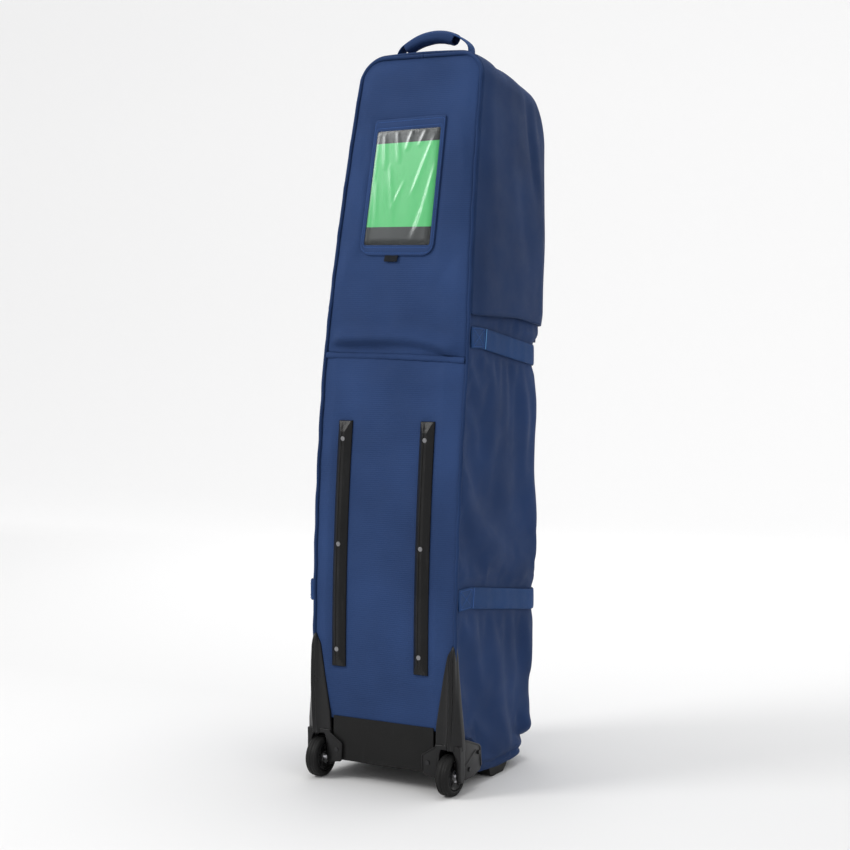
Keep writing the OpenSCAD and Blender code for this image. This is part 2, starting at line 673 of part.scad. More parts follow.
base_tray();
wheel_housing_left();
wheel_housing_right();
housing_screws();
tyre_left();
tyre_right();
wheel_core_left();
wheel_core_right();
bearings_left();
bearings_right();
axle_bolts();
front_feet();
lower_back_panel();
back_board();
rail_left();
rail_right();
rail_screws();
lower_side_left();
lower_side_right();
lower_front_panel();
upper_back_panel();
hood_side_left();
hood_side_right();
hood_top();
hood_front_top();
hood_sill();
piping_left();
piping_right();
waist_piping();
label_frame();
label_window();
insert_card();
label_tab();
upper_strap_left();
upper_strap_right();
lower_strap_left();
lower_strap_right();
upper_strap_slack();
lower_strap_slack();
upper_buckle_female();
lower_buckle_female();
upper_buckle_male();
lower_buckle_male();
front_flap();
zip_tape_fixed();
zip_chain_fixed();
zip_tape_flap();
zip_chain_flap();
zip_slider_left();
zip_slider_right();
zip_pull_left();
zip_pull_right();
handle_tabs();
handle_webbing();
handle_grip();
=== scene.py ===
"""A wheeled soft travel case for a golf bag, seen from its back and right side.
Lengths are in millimetres forward of the wheel axle until axle() or hood() puts them in the row frame."""
import math

import bmesh
import bpy
import numpy as np
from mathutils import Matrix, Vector, noise


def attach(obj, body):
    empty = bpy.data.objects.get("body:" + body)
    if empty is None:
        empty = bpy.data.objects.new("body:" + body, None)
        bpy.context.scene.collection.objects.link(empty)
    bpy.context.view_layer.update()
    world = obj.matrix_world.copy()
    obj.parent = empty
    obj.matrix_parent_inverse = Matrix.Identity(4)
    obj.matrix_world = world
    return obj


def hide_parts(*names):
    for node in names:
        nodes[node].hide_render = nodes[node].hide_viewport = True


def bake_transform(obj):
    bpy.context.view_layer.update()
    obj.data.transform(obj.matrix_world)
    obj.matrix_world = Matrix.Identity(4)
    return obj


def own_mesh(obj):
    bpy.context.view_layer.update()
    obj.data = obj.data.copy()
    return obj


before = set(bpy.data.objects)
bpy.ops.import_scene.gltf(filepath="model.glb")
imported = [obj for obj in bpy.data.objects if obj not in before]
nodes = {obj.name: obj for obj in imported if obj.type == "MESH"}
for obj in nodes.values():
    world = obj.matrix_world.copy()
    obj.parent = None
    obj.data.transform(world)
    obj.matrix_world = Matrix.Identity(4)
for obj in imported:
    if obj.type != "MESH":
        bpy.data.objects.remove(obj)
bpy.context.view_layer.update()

# ---- the case's own measures, as in its CAD ----
MID_Y, WAIST, LEAN = 164.6, 723.0, math.radians(2.6)
HOOD_TOP, TOP_X, WAIST_X, BODY_X, TOP_R = 1240.0, 120.0, 142.0, 138.7, 45.0
EDGE = 5.4
CORNER = 48.0
TRAY_TOP = 109.0


def axle(p):
    """Points in mm, forward of the axle, as points in the row frame."""
    return (np.asarray(p, float) - (0, MID_Y, 0)) / 1000


def hood(p):
    """The same for points of the hood, which leans sideways about the middle of the waist."""
    p = np.array(p, float)
    x, z = p[..., 0].copy(), p[..., 2] - WAIST
    p[..., 0] = x * math.cos(LEAN) + z * math.sin(LEAN)
    p[..., 2] = WAIST - x * math.sin(LEAN) + z * math.cos(LEAN)
    return axle(p)


def back(z):
    """The back of the case at height z."""
    z = np.asarray(z, float)
    t = (z - WAIST) / (HOOD_TOP - WAIST)
    low = -3 + 38 * np.clip((z - 200) / (WAIST - 200), 0, None) ** 2
    return np.where(z < WAIST, low, 35 + 56 * (0.45 * t + 0.55 * t * t))


def hood_half(z):
    return WAIST_X - (WAIST_X - TOP_X) * (np.asarray(z, float) - 780) / (HOOD_TOP - 780)


def ease(t):
    t = np.clip(t, 0, 1)
    return t * t * (3 - 2 * t)


def bump(x, middle, width):
    """A smooth hill, 1 in the middle."""
    return np.exp(-((np.asarray(x, float) - middle) / width) ** 2)


def soft_noise(p, scale, seed=0):
    """Smooth noise from about -1 to 1 at points (..., 3), with features of about scale mm."""
    flat = np.asarray(p, float).reshape(-1, 3) / scale + seed * 17.3
    return np.array([noise.noise(q) for q in flat]).reshape(np.shape(p)[:-1])


# ---- meshes ----
def new_object(name, verts, faces, material=None, uv=None):
    me = bpy.data.meshes.new(name)
    me.from_pydata([tuple(v) for v in np.asarray(verts).reshape(-1, 3)], [], [tuple(f) for f in faces])
    if uv is not None:
        layer = me.uv_layers.new(name="cloth")
        loops = np.zeros(len(me.loops), np.int32)
        me.loops.foreach_get("vertex_index", loops)
        layer.data.foreach_set("uv", np.asarray(uv, float).reshape(-1, 2)[loops].ravel())
    me.validate()
    bm = bmesh.new()
    bm.from_mesh(me)
    bmesh.ops.recalc_face_normals(bm, faces=bm.faces)
    bm.to_mesh(me)
    bm.free()
    me.polygons.foreach_set("use_smooth", [True] * len(me.polygons))
    o = bpy.data.objects.new(name, me)
    bpy.context.scene.collection.objects.link(o)
    if material:
        me.materials.append(material)
    return o


def grid_faces(nu, nv, start=0, flip=False):
    out = []
    for i in range(nu - 1):
        for j in range(nv - 1):
            a, b = start + i * nv + j, start + (i + 1) * nv + j
            out.append((a, a + 1, b + 1, b) if flip else (a, b, b + 1, a + 1))
    return out


def loop_faces(n, k, start=0, ring=False):
    """Faces between n closed loops of k points: closed at the ends, or with the last joined to the first."""
    out = []
    for i in range(n if ring else n - 1):
        a, b = start + i * k, start + (i + 1) % n * k
        out += [(a + j, a + (j + 1) % k, b + (j + 1) % k, b + j) for j in range(k)]
    if not ring:
        out += [tuple(start + j for j in range(k - 1, -1, -1)),
            tuple(start + (n - 1) * k + j for j in range(k))]
    return out


def lengths(path):
    """The distance along a path at each of its points."""
    return np.concatenate([[0], np.cumsum(np.linalg.norm(np.diff(path, axis=0), axis=1))])


def unit(v):
    return v / np.maximum(np.linalg.norm(v, axis=-1, keepdims=True), 1e-9)


def subdivide(o, levels=1):
    if levels:
        m = o.modifiers.new("Subdivision", "SUBSURF")
        m.levels = m.render_levels = levels


def grid_normals(p):
    du, dv = np.gradient(p, axis=0), np.gradient(p, axis=1)
    return unit(np.cross(du, dv))


def cloth_uv(p):
    """Distances along the cloth, in metres, from its first corner."""
    du = np.linalg.norm(np.diff(p, axis=0), axis=-1).mean(1)
    dv = np.linalg.norm(np.diff(p, axis=1), axis=-1).mean(0)
    u, v = np.concatenate([[0], np.cumsum(du)]), np.concatenate([[0], np.cumsum(dv)])
    return np.stack(np.meshgrid(u, v, indexing="ij"), -1)


def sheet_mesh(name, p, thick, material, outward=1, levels=1, rim=0.6):
    """A closed sheet, thick metres deep, whose outer face is the grid p (nu, nv, 3), with a rolled rim."""
    nu, nv = p.shape[:2]
    n = grid_normals(p) * outward
    inner = p - n * thick
    verts = np.concatenate([p.reshape(-1, 3), inner.reshape(-1, 3)])
    faces = grid_faces(nu, nv) + grid_faces(nu, nv, nu * nv, flip=True)
    ring = [i * nv for i in range(nu)] + [(nu - 1) * nv + j for j in range(1, nv)]
    ring += [i * nv + nv - 1 for i in range(nu - 2, -1, -1)] + [j for j in range(nv - 2, 0, -1)]
    for a, b in zip(ring, ring[1:] + ring[:1]):
        faces.append((b, a, a + nu * nv, b + nu * nv))
    uv = cloth_uv(p).reshape(-1, 2)
    o = new_object(name, verts, faces, material, uv=np.concatenate([uv, uv]))
    if rim:
        crease = o.data.attributes.new("crease_edge", "FLOAT", "EDGE")
        edge = {tuple(sorted((a, b))) for a, b in zip(ring, ring[1:] + ring[:1])}
        edge |= {tuple(x + nu * nv for x in e) for e in edge}
        crease.data.foreach_set("value", [rim if tuple(sorted(e.vertices)) in edge else 0.0
            for e in o.data.edges])
    subdivide(o, levels)
    return o


def settle(p, held, grow=0.015, frames=14, gravity=0.0, push=0.0, cap=9.0, stiff=6.0):
    """Lets a sheet (nu, nv, 3) crease by itself. It is cut larger by grow, and held where held is 1."""
    nu, nv = p.shape[:2]
    o = new_object("settling", p, grid_faces(nu, nv))
    group = o.vertex_groups.new(name="held")
    for i, w in enumerate(np.asarray(held).reshape(-1)):
        if w > 0:
            group.add([i], float(w), "REPLACE")
    cloth = o.modifiers.new("Cloth", "CLOTH")
    s = cloth.settings
    s.quality, s.mass = 5, 0.25
    s.tension_stiffness = s.compression_stiffness = 25
    s.shear_stiffness, s.bending_stiffness, s.air_damping = 10, stiff, 3
    s.vertex_group_mass, s.pin_stiffness = "held", 3
    s.shrink_min = s.shrink_max = -grow
    s.effector_weights.gravity = gravity
    if push:
        s.use_pressure, s.uniform_pressure_force = True, push
    cloth.point_cache.frame_start, cloth.point_cache.frame_end = 1, frames
    for f in range(1, frames + 1):
        bpy.context.scene.frame_set(f)
    shape = o.evaluated_get(bpy.context.evaluated_depsgraph_get()).data
    q = np.zeros(nu * nv * 3)
    shape.vertices.foreach_get("co", q)
    bpy.data.objects.remove(o)
    bpy.context.scene.frame_set(1)
    move = q.reshape(nu, nv, 3) - p
    size = np.linalg.norm(move, axis=-1, keepdims=True)
    limit = cap / 1000
    return p + move * (limit * np.tanh(size / limit) / np.maximum(size, 1e-9)) * (1 - held[..., None])


def tube(name, path, radius, material, sides=12, squash=(1, 1)):
    """A round or flattened cord along a path of points in metres, with one radius for each point."""
    n = len(path)
    d = unit(np.gradient(path, axis=0))
    a = unit(np.cross(d, (0, 1.0, 0)))
    b = np.cross(d, a)
    ang = np.linspace(0, 2 * math.pi, sides, endpoint=False)
    ring = a[:, None] * np.cos(ang)[None, :, None] * squash[0] + b[:, None] * np.sin(ang)[None, :,
        None] * squash[1]
    verts = (path[:, None] + ring * radius[:, None, None]).reshape(-1, 3)
    uv = np.stack([np.broadcast_to(lengths(path)[:, None], (n, sides)),
                   np.broadcast_to((ang * radius.mean())[None], (n, sides))], -1)
    return new_object(name, verts, loop_faces(n, sides), material, uv=uv)


def ribbon(name, path, side, out, width, thick, material):
    """A flat strap: path points in metres, side the direction across it, and out the direction it faces."""
    cross = np.array([(-0.5, 0), (-0.47, 0.8), (-0.3, 1), (0, 1), (0.3, 1), (0.47, 0.8), (0.5, 0),
        (0.3, -0.02),
                      (0, 0), (-0.3, -0.02)])
    n, k = len(path), len(cross)
    verts = path[:, None] + side[:, None] * cross[None, :, :1] * width + out[:, None] * cross[None, :,
        1:] * thick
    uv = np.stack([np.broadcast_to(lengths(path)[:, None], (n, k)),
                   np.broadcast_to(cross[None, :, 0] * width, (n, k))], -1)
    o = new_object(name, verts.reshape(-1, 3), loop_faces(n, k), material, uv=uv)
    subdivide(o)
    return o


def join(name, parts):
    """Several objects as one piece."""
    target = parts[0]
    with bpy.context.temp_override(active_object=target, selected_editable_objects=parts,
        selected_objects=parts):
        bpy.ops.object.join()
    target.name = name
    return target


def solid(name, outline, depth0, depth1, place, material, bevel=0.0, segments=2):
    """An outline [(a, b)] drawn out from depth0 to depth1; place(a, b, d) gives the point in metres."""
    verts = [place(a, b, d) for d in (depth0, depth1) for a, b in outline]
    o = new_object(name, verts, loop_faces(2, len(outline)), material)
    if bevel:
        m = o.modifiers.new("Bevel", "BEVEL")
        m.width, m.segments, m.limit_method, m.angle_limit = bevel / 1000, segments, "ANGLE", math.radians(35)
        apply_modifiers(o)
    return o


def apply_modifiers(o):
    """Replaces the mesh with what its modifiers make of it."""
    dg = bpy.context.evaluated_depsgraph_get()
    me = bpy.data.meshes.new_from_object(o.evaluated_get(dg))
    o.modifiers.clear()
    o.data = me


def sharp(o, degrees=35):
    """Marks the edges that are sharper than that, so that the faces beside them shade apart."""
    bm = bmesh.new()
    bm.from_mesh(o.data)
    for e in bm.edges:
        e.smooth = not (len(e.link_faces) == 2 and e.calc_face_angle(0) > math.radians(degrees))
    bm.to_mesh(o.data)
    bm.free()
    return o


def place_piece(o, body, slot, *stands_for):
    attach(o, body)
    if stands_for:
        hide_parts(*stands_for)
    return o


# ---- materials ----
def shader(name):
    m = bpy.data.materials.new(name)
    m.use_nodes = True
    t = m.node_tree
    return m, t, t.nodes["Principled BSDF"]


def node(t, kind, inputs=(), **values):
    n = t.nodes.new(kind)
    for k, v in values.items():
        setattr(n, k, v)
    for socket, v in dict(inputs).items():
        n.inputs[socket].default_value = v
    return n


def link(t, a, b):
    t.links.new(a, b)


def srgb(r, g, b):
    return tuple(((c / 255) / 12.92 if c <= 10 else (((c / 255) + 0.055) / 1.055) ** 2.4)
        for c in (r, g, b)) + (1,)


def mix_colour(t, fac, a, b, how="MIX"):
    m = node(t, "ShaderNodeMix", data_type="RGBA", blend_type=how)
    for socket, v in ((m.inputs["Factor"], fac), (m.inputs[6], a), (m.inputs[7], b)):
        if hasattr(v, "is_output"):
            link(t, v, socket)
        else:
            socket.default_value = v
    return m.outputs[2]


def maths(t, op, a, b=0.0, clamp=False):
    m = node(t, "ShaderNodeMath", operation=op, use_clamp=clamp)
    for socket, v in ((m.inputs[0], a), (m.inputs[1], b)):
        if hasattr(v, "is_output"):
            link(t, v, socket)
        else:
            socket.default_value = v
    return m.outputs[0]


def ramp(t, value, low, high, a=0.0, b=1.0):
    m = node(t, "ShaderNodeMapRange", {1: low, 2: high, 3: a, 4: b})
    link(t, value, m.inputs[0])
    return m.outputs[0]


def noise_at(t, at, scale, detail=3.0, rough=0.5):
    n = node(t, "ShaderNodeTexNoise", {"Scale": scale, "Detail": detail, "Roughness": rough})
    link(t, at, n.inputs["Vector"])
    return n.outputs[0]


def bumped(t, p, height, strength, distance, over=None):
    b = node(t, "ShaderNodeBump", {"Strength": strength, "Distance": distance})
    link(t, height, b.inputs["Height"])
    if over:
        link(t, over, b.inputs["Normal"])
    link(t, b.outputs[0], p.inputs["Normal"])
    return b.outputs[0]


def tone(colour, k, more=0.0):
    """The colour made k times as bright."""
    return tuple(min(c * k + more, 1.0) for c in colour[:3]) + (1,)


def fabric(name, colour, rib=0.0013, strength=0.35, ribs="v", coarse=0.0034, rough=0.62, coords="cloth"):
    """Woven cloth: fine crosswise ribs over a plain weave, with faint fading and lint, and a painted
    highlight that lightens the raised crests of the weave.
    """
    m, t, p = shader(name)
    if coords == "cloth":
        at = node(t, "ShaderNodeUVMap", uv_map="cloth").outputs[0]
    else:
        at = node(t, "ShaderNodeTexCoord").outputs["Object"]
    split = node(t, "ShaderNodeSeparateXYZ")
    link(t, at, split.inputs[0])
    first, second = (split.outputs[1], split.outputs[0]) if ribs == "v" else (split.outputs[0],
        split.outputs[1])
    if coords != "cloth":
        first, second = split.outputs[2], maths(t, "ADD", split.outputs[0], split.outputs[1])
    first = maths(t, "ADD", first, maths(t, "MULTIPLY", noise_at(t, at, 60.0, 2.0), rib * 0.8))
    wave = maths(t, "SINE", maths(t, "MULTIPLY", first, 2 * math.pi / rib))
    warp = maths(t, "SINE", maths(t, "MULTIPLY", second, 2 * math.pi / (rib * 0.8)))
    broad = maths(t, "SINE", maths(t, "MULTIPLY", first, 2 * math.pi / coarse))
    cloud, grain, fade = noise_at(t, at, 22.0, 4.0, 0.6), noise_at(t, at, 900.0, 3.0, 0.7), noise_at(t, at,
        5.0, 2.0)
    height = maths(t, "ADD", maths(t, "MULTIPLY", wave, 0.5), maths(t, "MULTIPLY", warp, 0.2))
    height = maths(t, "ADD", height, maths(t, "MULTIPLY", maths(t, "MULTIPLY", broad, cloud), 0.9))
    height = maths(t, "ADD", height, maths(t, "MULTIPLY", grain, 0.8))
    bumped(t, p, height, strength, 0.0005)
    c = mix_colour(t, ramp(t, fade, 0.35, 0.65), tone(colour, 0.8), tone(colour, 1.2))
    # painted highlight: the colour is lighter where the bump's height is greater, on the crests of the ribs
    c = mix_colour(t, ramp(t, height, -0.6, 1.5, 0.0, 0.5), c, tone(colour, 1.45))
    c = mix_colour(t, ramp(t, grain, 0.62, 0.8, 0.0, 0.12), c, srgb(80, 100, 150))
    link(t, c, p.inputs["Base Color"])
    link(t, ramp(t, cloud, 0.3, 0.7, rough - 0.06, rough + 0.1), p.inputs["Roughness"])
    p.inputs["Sheen Weight"].default_value = 0.03
    p.inputs["Sheen Roughness"].default_value = 0.4
    p.inputs["Sheen Tint"].default_value = (0.55, 0.65, 0.95, 1)
    p.inputs["Specular IOR Level"].default_value = 0.07
    return m


def plastic(name, colour, rough=0.42, grain=0.25, scale=700.0, scratches=0.15, edge=0.0008, spec=0.2):
    """Moulded plastic with a fine spark grain, faint scuffs and edges that shade as if slightly round."""
    m, t, p = shader(name)
    at = node(t, "ShaderNodeTexCoord").outputs["Object"]
    fine, big = noise_at(t, at, scale, 3.0, 0.7), noise_at(t, at, 14.0, 4.0, 0.65)
    streak = node(t, "ShaderNodeMapping", {"Scale": (260.0, 260.0, 14.0)})
    link(t, at, streak.inputs[0])
    worn = ramp(t, noise_at(t, streak.outputs[0], 1.0), 0.6, 0.75, 0.0, scratches)
    soft_edge = node(t, "ShaderNodeBevel", {"Radius": edge}, samples=4)
    bumped(t, p, fine, grain, 0.0003, soft_edge.outputs[0])
    c = mix_colour(t, ramp(t, big, 0.3, 0.7), tone(colour, 0.82), tone(colour, 1.2, 0.001))
    c = mix_colour(t, worn, c, tone(colour, 1.6, 0.015))
    link(t, c, p.inputs["Base Color"])
    link(t, ramp(t, big, 0.3, 0.7, rough - 0.07, rough + 0.1), p.inputs["Roughness"])
    p.inputs["Specular IOR Level"].default_value = spec
    return m


def metal(name, colour, rough=0.3, metallic=1.0):
    """Plated or painted metal with fine turning marks."""
    m, t, p = shader(name)
    at = node(t, "ShaderNodeTexCoord").outputs["Object"]
    fine = noise_at(t, at, 900.0)
    bumped(t, p, fine, 0.15, 0.0002)
    link(t, mix_colour(t, ramp(t, fine, 0.35, 0.65), tone(colour, 0.85), tone(colour, 1.1)),
        p.inputs["Base Color"])
    link(t, ramp(t, fine, 0.3, 0.7, rough - 0.05, rough + 0.12), p.inputs["Roughness"])
    p.inputs["Metallic"].default_value = metallic
    return m


body_cloth = fabric("body_cloth", srgb(41, 61, 100))
# side_cloth_painted_shade and hood_cloth_painted_shade are the back's blue cloth made darker: painted shade
# that makes the case's sides and hood darker than its back
side_cloth_painted_shade = fabric("side_cloth_painted_shade", srgb(34, 53, 89), rib=0.0009, strength=0.22, coarse=0.0026)
hood_cloth_painted_shade = fabric("hood_cloth_painted_shade", srgb(32, 50, 84), rib=0.0011, strength=0.25, coarse=0.003)
pipe_cloth = fabric("pipe_cloth", srgb(33, 52, 88), rib=0.0009, strength=0.3, ribs="u", coarse=0.0022)
webbing = fabric("webbing", srgb(34, 62, 106), rib=0.0022, strength=0.7, ribs="u", coarse=0.0022, rough=0.55)
tape_cloth = fabric("tape_cloth", srgb(26, 38, 68), rib=0.0014, strength=0.4, coords="object")
chain_plastic = plastic("chain_plastic", srgb(26, 34, 60), rough=0.35, scale=500)
tab_cloth = fabric("tab_cloth", srgb(30, 32, 36), rib=0.0008, strength=0.5, ribs="u", coarse=0.0016)
stitch_cloth = fabric("stitch_cloth", srgb(64, 98, 160), rib=0.0007, strength=0.4, ribs="u", coarse=0.0012)
moulding = plastic("moulding", srgb(17, 17, 18), rough=0.34, grain=0.08, spec=0.3)
rail_plastic = plastic("rail_plastic", srgb(24, 24, 24), rough=0.36, scratches=0.4)
base_plastic = plastic("base_plastic", srgb(19, 19, 19), rough=0.5, grain=0.5, scale=420)
buckle_plastic = plastic("buckle_plastic", srgb(17, 17, 19), rough=0.33, grain=0.1)
board_plastic = plastic("board_plastic", srgb(205, 203, 194), rough=0.5)
tyre_rubber = plastic("tyre_rubber", srgb(19, 19, 19), rough=0.55, grain=0.35, scratches=0.5, edge=0.0004)
core_plastic = plastic("core_plastic", srgb(12, 12, 13), rough=0.3, grain=0.08)
zinc = metal("zinc", (0.72, 0.72, 0.74), 0.28)
enamel = metal("enamel", (0.012, 0.022, 0.07), 0.4, 0.3)
screw_metal = metal("screw_metal", (0.26, 0.26, 0.27), 0.35)
black_screw = metal("black_screw", (0.03, 0.03, 0.032), 0.4, 0.6)
bar_thread = fabric("bar_thread", srgb(96, 150, 205), rib=0.0007, strength=0.4, ribs="u", coarse=0.0012)


def vinyl():
    """Clear flexible sheet: it shows what is behind it and mirrors the lights."""
    m, t, p = shader("clear_vinyl")
    out = t.nodes["Material Output"]
    clear = node(t, "ShaderNodeBsdfTransparent", {"Color": (0.97, 0.985, 0.99, 1)})
    mixer = node(t, "ShaderNodeMixShader")
    at = node(t, "ShaderNodeUVMap", uv_map="cloth").outputs[0]
    stretch = node(t, "ShaderNodeMapping", {"Scale": (34.0, 9.0, 1.0), "Rotation": (0, 0, 0.25)})
    link(t, at, stretch.inputs[0])
    n = node(t, "ShaderNodeTexNoise", {"Scale": 1.0, "Detail": 2.0, "Distortion": 0.6})
    link(t, stretch.outputs[0], n.inputs["Vector"])
    shape = bumped(t, p, n.outputs[0], 0.4, 0.0012)
    shine = node(t, "ShaderNodeLayerWeight", {"Blend": 0.5})
    link(t, shape, shine.inputs["Normal"])
    link(t, ramp(t, shine.outputs["Facing"], 0.2, 0.55, 0.012, 0.12), mixer.inputs[0])
    p.inputs["Base Color"].default_value = (0.9, 0.92, 0.93, 1)
    p.inputs["Metallic"].default_value = 1.0
    link(t, ramp(t, n.outputs[0], 0.3, 0.7, 0.16, 0.26), p.inputs["Roughness"])
    link(t, clear.outputs[0], mixer.inputs[1])
    link(t, p.outputs[0], mixer.inputs[2])
    link(t, mixer.outputs[0], out.inputs["Surface"])
    return m


def card_print(bands):
    """Bands of ink down a card. bands holds (height in metres above the lower edge, colour), lowest first."""
    m, t, p = shader("card_print")
    at = node(t, "ShaderNodeUVMap", uv_map="cloth").outputs[0]
    split = node(t, "ShaderNodeSeparateXYZ")
    link(t, at, split.inputs[0])
    c = bands[0][1]
    for level, colour in bands[1:]:
        c = mix_colour(t, maths(t, "GREATER_THAN", split.outputs[1], level), c, colour)
    speck = noise_at(t, at, 300.0, 2.0)
    c = mix_colour(t, ramp(t, speck, 0.3, 0.7, 0.0, 0.015), c, (1, 1, 1, 1))
    link(t, c, p.inputs["Base Color"])
    link(t, ramp(t, speck, 0.3, 0.7, 0.42, 0.5), p.inputs["Roughness"])
    return m


# ---- soft panels ----
def crease(s, z, s0, z0, s1, z1, width, depth):
    """A fold along a line on the cloth, fading out at both ends."""
    dx, dz = s1 - s0, z1 - z0
    t = ((s - s0) * dx + (z - z0) * dz) / (dx * dx + dz * dz)
    off = ((s - s0) * dz - (z - z0) * dx) / math.hypot(dx, dz)
    return depth * np.exp(-(off / width) ** 2) * np.where((t > 0) & (t < 1),
        np.sin(np.clip(t, 0, 1) * math.pi) ** 0.7, 0)


LOW_Z = [13, 17, 21, 25, 29, 33, 38, 47, 60, 75, 95, 116, 150, 165, 205, 300, 470, 530, 580, 620, 650, 690,
    718, 750, 766, 785, 797, 809]
LOW_HALF = [132, 135, 136.5, 137, 136.5, 137.5, 138.5, 139.5, 140, 140, 140, 139.5, 139, 139, 138.7, 138.7,
    139, 139.5, 140, 141, 141, 142, 142, 142, 142, 141, 140.5, 136]
LOW_FRONT = [258, 268, 272, 271, 266, 279, 291, 299, 304, 309, 311, 309, 309, 319, 322, 321, 320, 324, 329,
    333, 332, 318, 312, 317, 331, 338, 339, 334]
UNDER_HALF, UNDER_FRONT, UNDER_CORNER = 130.5, 224.0, 20.0
STRAP_W = 38.0
UPPER_STRAP, LOWER_STRAP = (755.0, 730.0), (321.5, 291.5)      # height at the back end and the front corner
STRAP_DROP, STRAP_SEWN = 3.5, 0.16      # a strap's fall round the corner, and the level share of its side
PROUD_END = 11.5                # how far the lower left strap stands out where it leaves the back seam
HOOK = 75.0                     # the housing's flange covers the cloth as far forward as this
SIDE_RUN, FRONT_RUN, ROUND_RUN = 270.0, 92.0, 900.0     # lengths of cloth: side, half front, whole


def outline(kind, t, half, front, corner, y0):
    """A point of the lower body's outline, for x > 0, from the back edge to the middle of the front."""
    if kind == "side":
        return half + 0 * y0, y0 + (front - corner - y0) * t
    if kind == "arc":
        return half - corner + corner * math.cos(t), front - corner + corner * math.sin(t)
    return (half - corner) * t, front + 0 * half


COLUMNS = ([("side", t) for t in np.linspace(0, 1, 34)]
    + [("arc", a) for a in np.radians(np.linspace(9, 81, 9))]
           + [("front", s) for s in np.linspace(1, 0, 14)])
COLUMNS = [(1, k, t) for k, t in COLUMNS] + [(-1, k, t) for k, t in COLUMNS[-2::-1]]


def strap_height(levels, kind, t):
    """The height of a strap's middle: level over its sewn end, then falling to the front corner."""
    if kind == "side":
        return levels[0] + (levels[1] - levels[0]) * max(t - STRAP_SEWN, 0) / (1 - STRAP_SEWN)
    return levels[1] - STRAP_DROP * (t / (math.pi / 2) if kind == "arc" else 1)


def strap_pull(z, t, kind):
    """How strongly a strap holds the cloth in at this height of a column."""
    out = 0
    for levels in (UPPER_STRAP, LOWER_STRAP):
        middle = strap_height(levels, kind, t)
        out = np.maximum(out, ease((STRAP_W / 2 + 16 - np.abs(z - middle)) / 16))
    return out


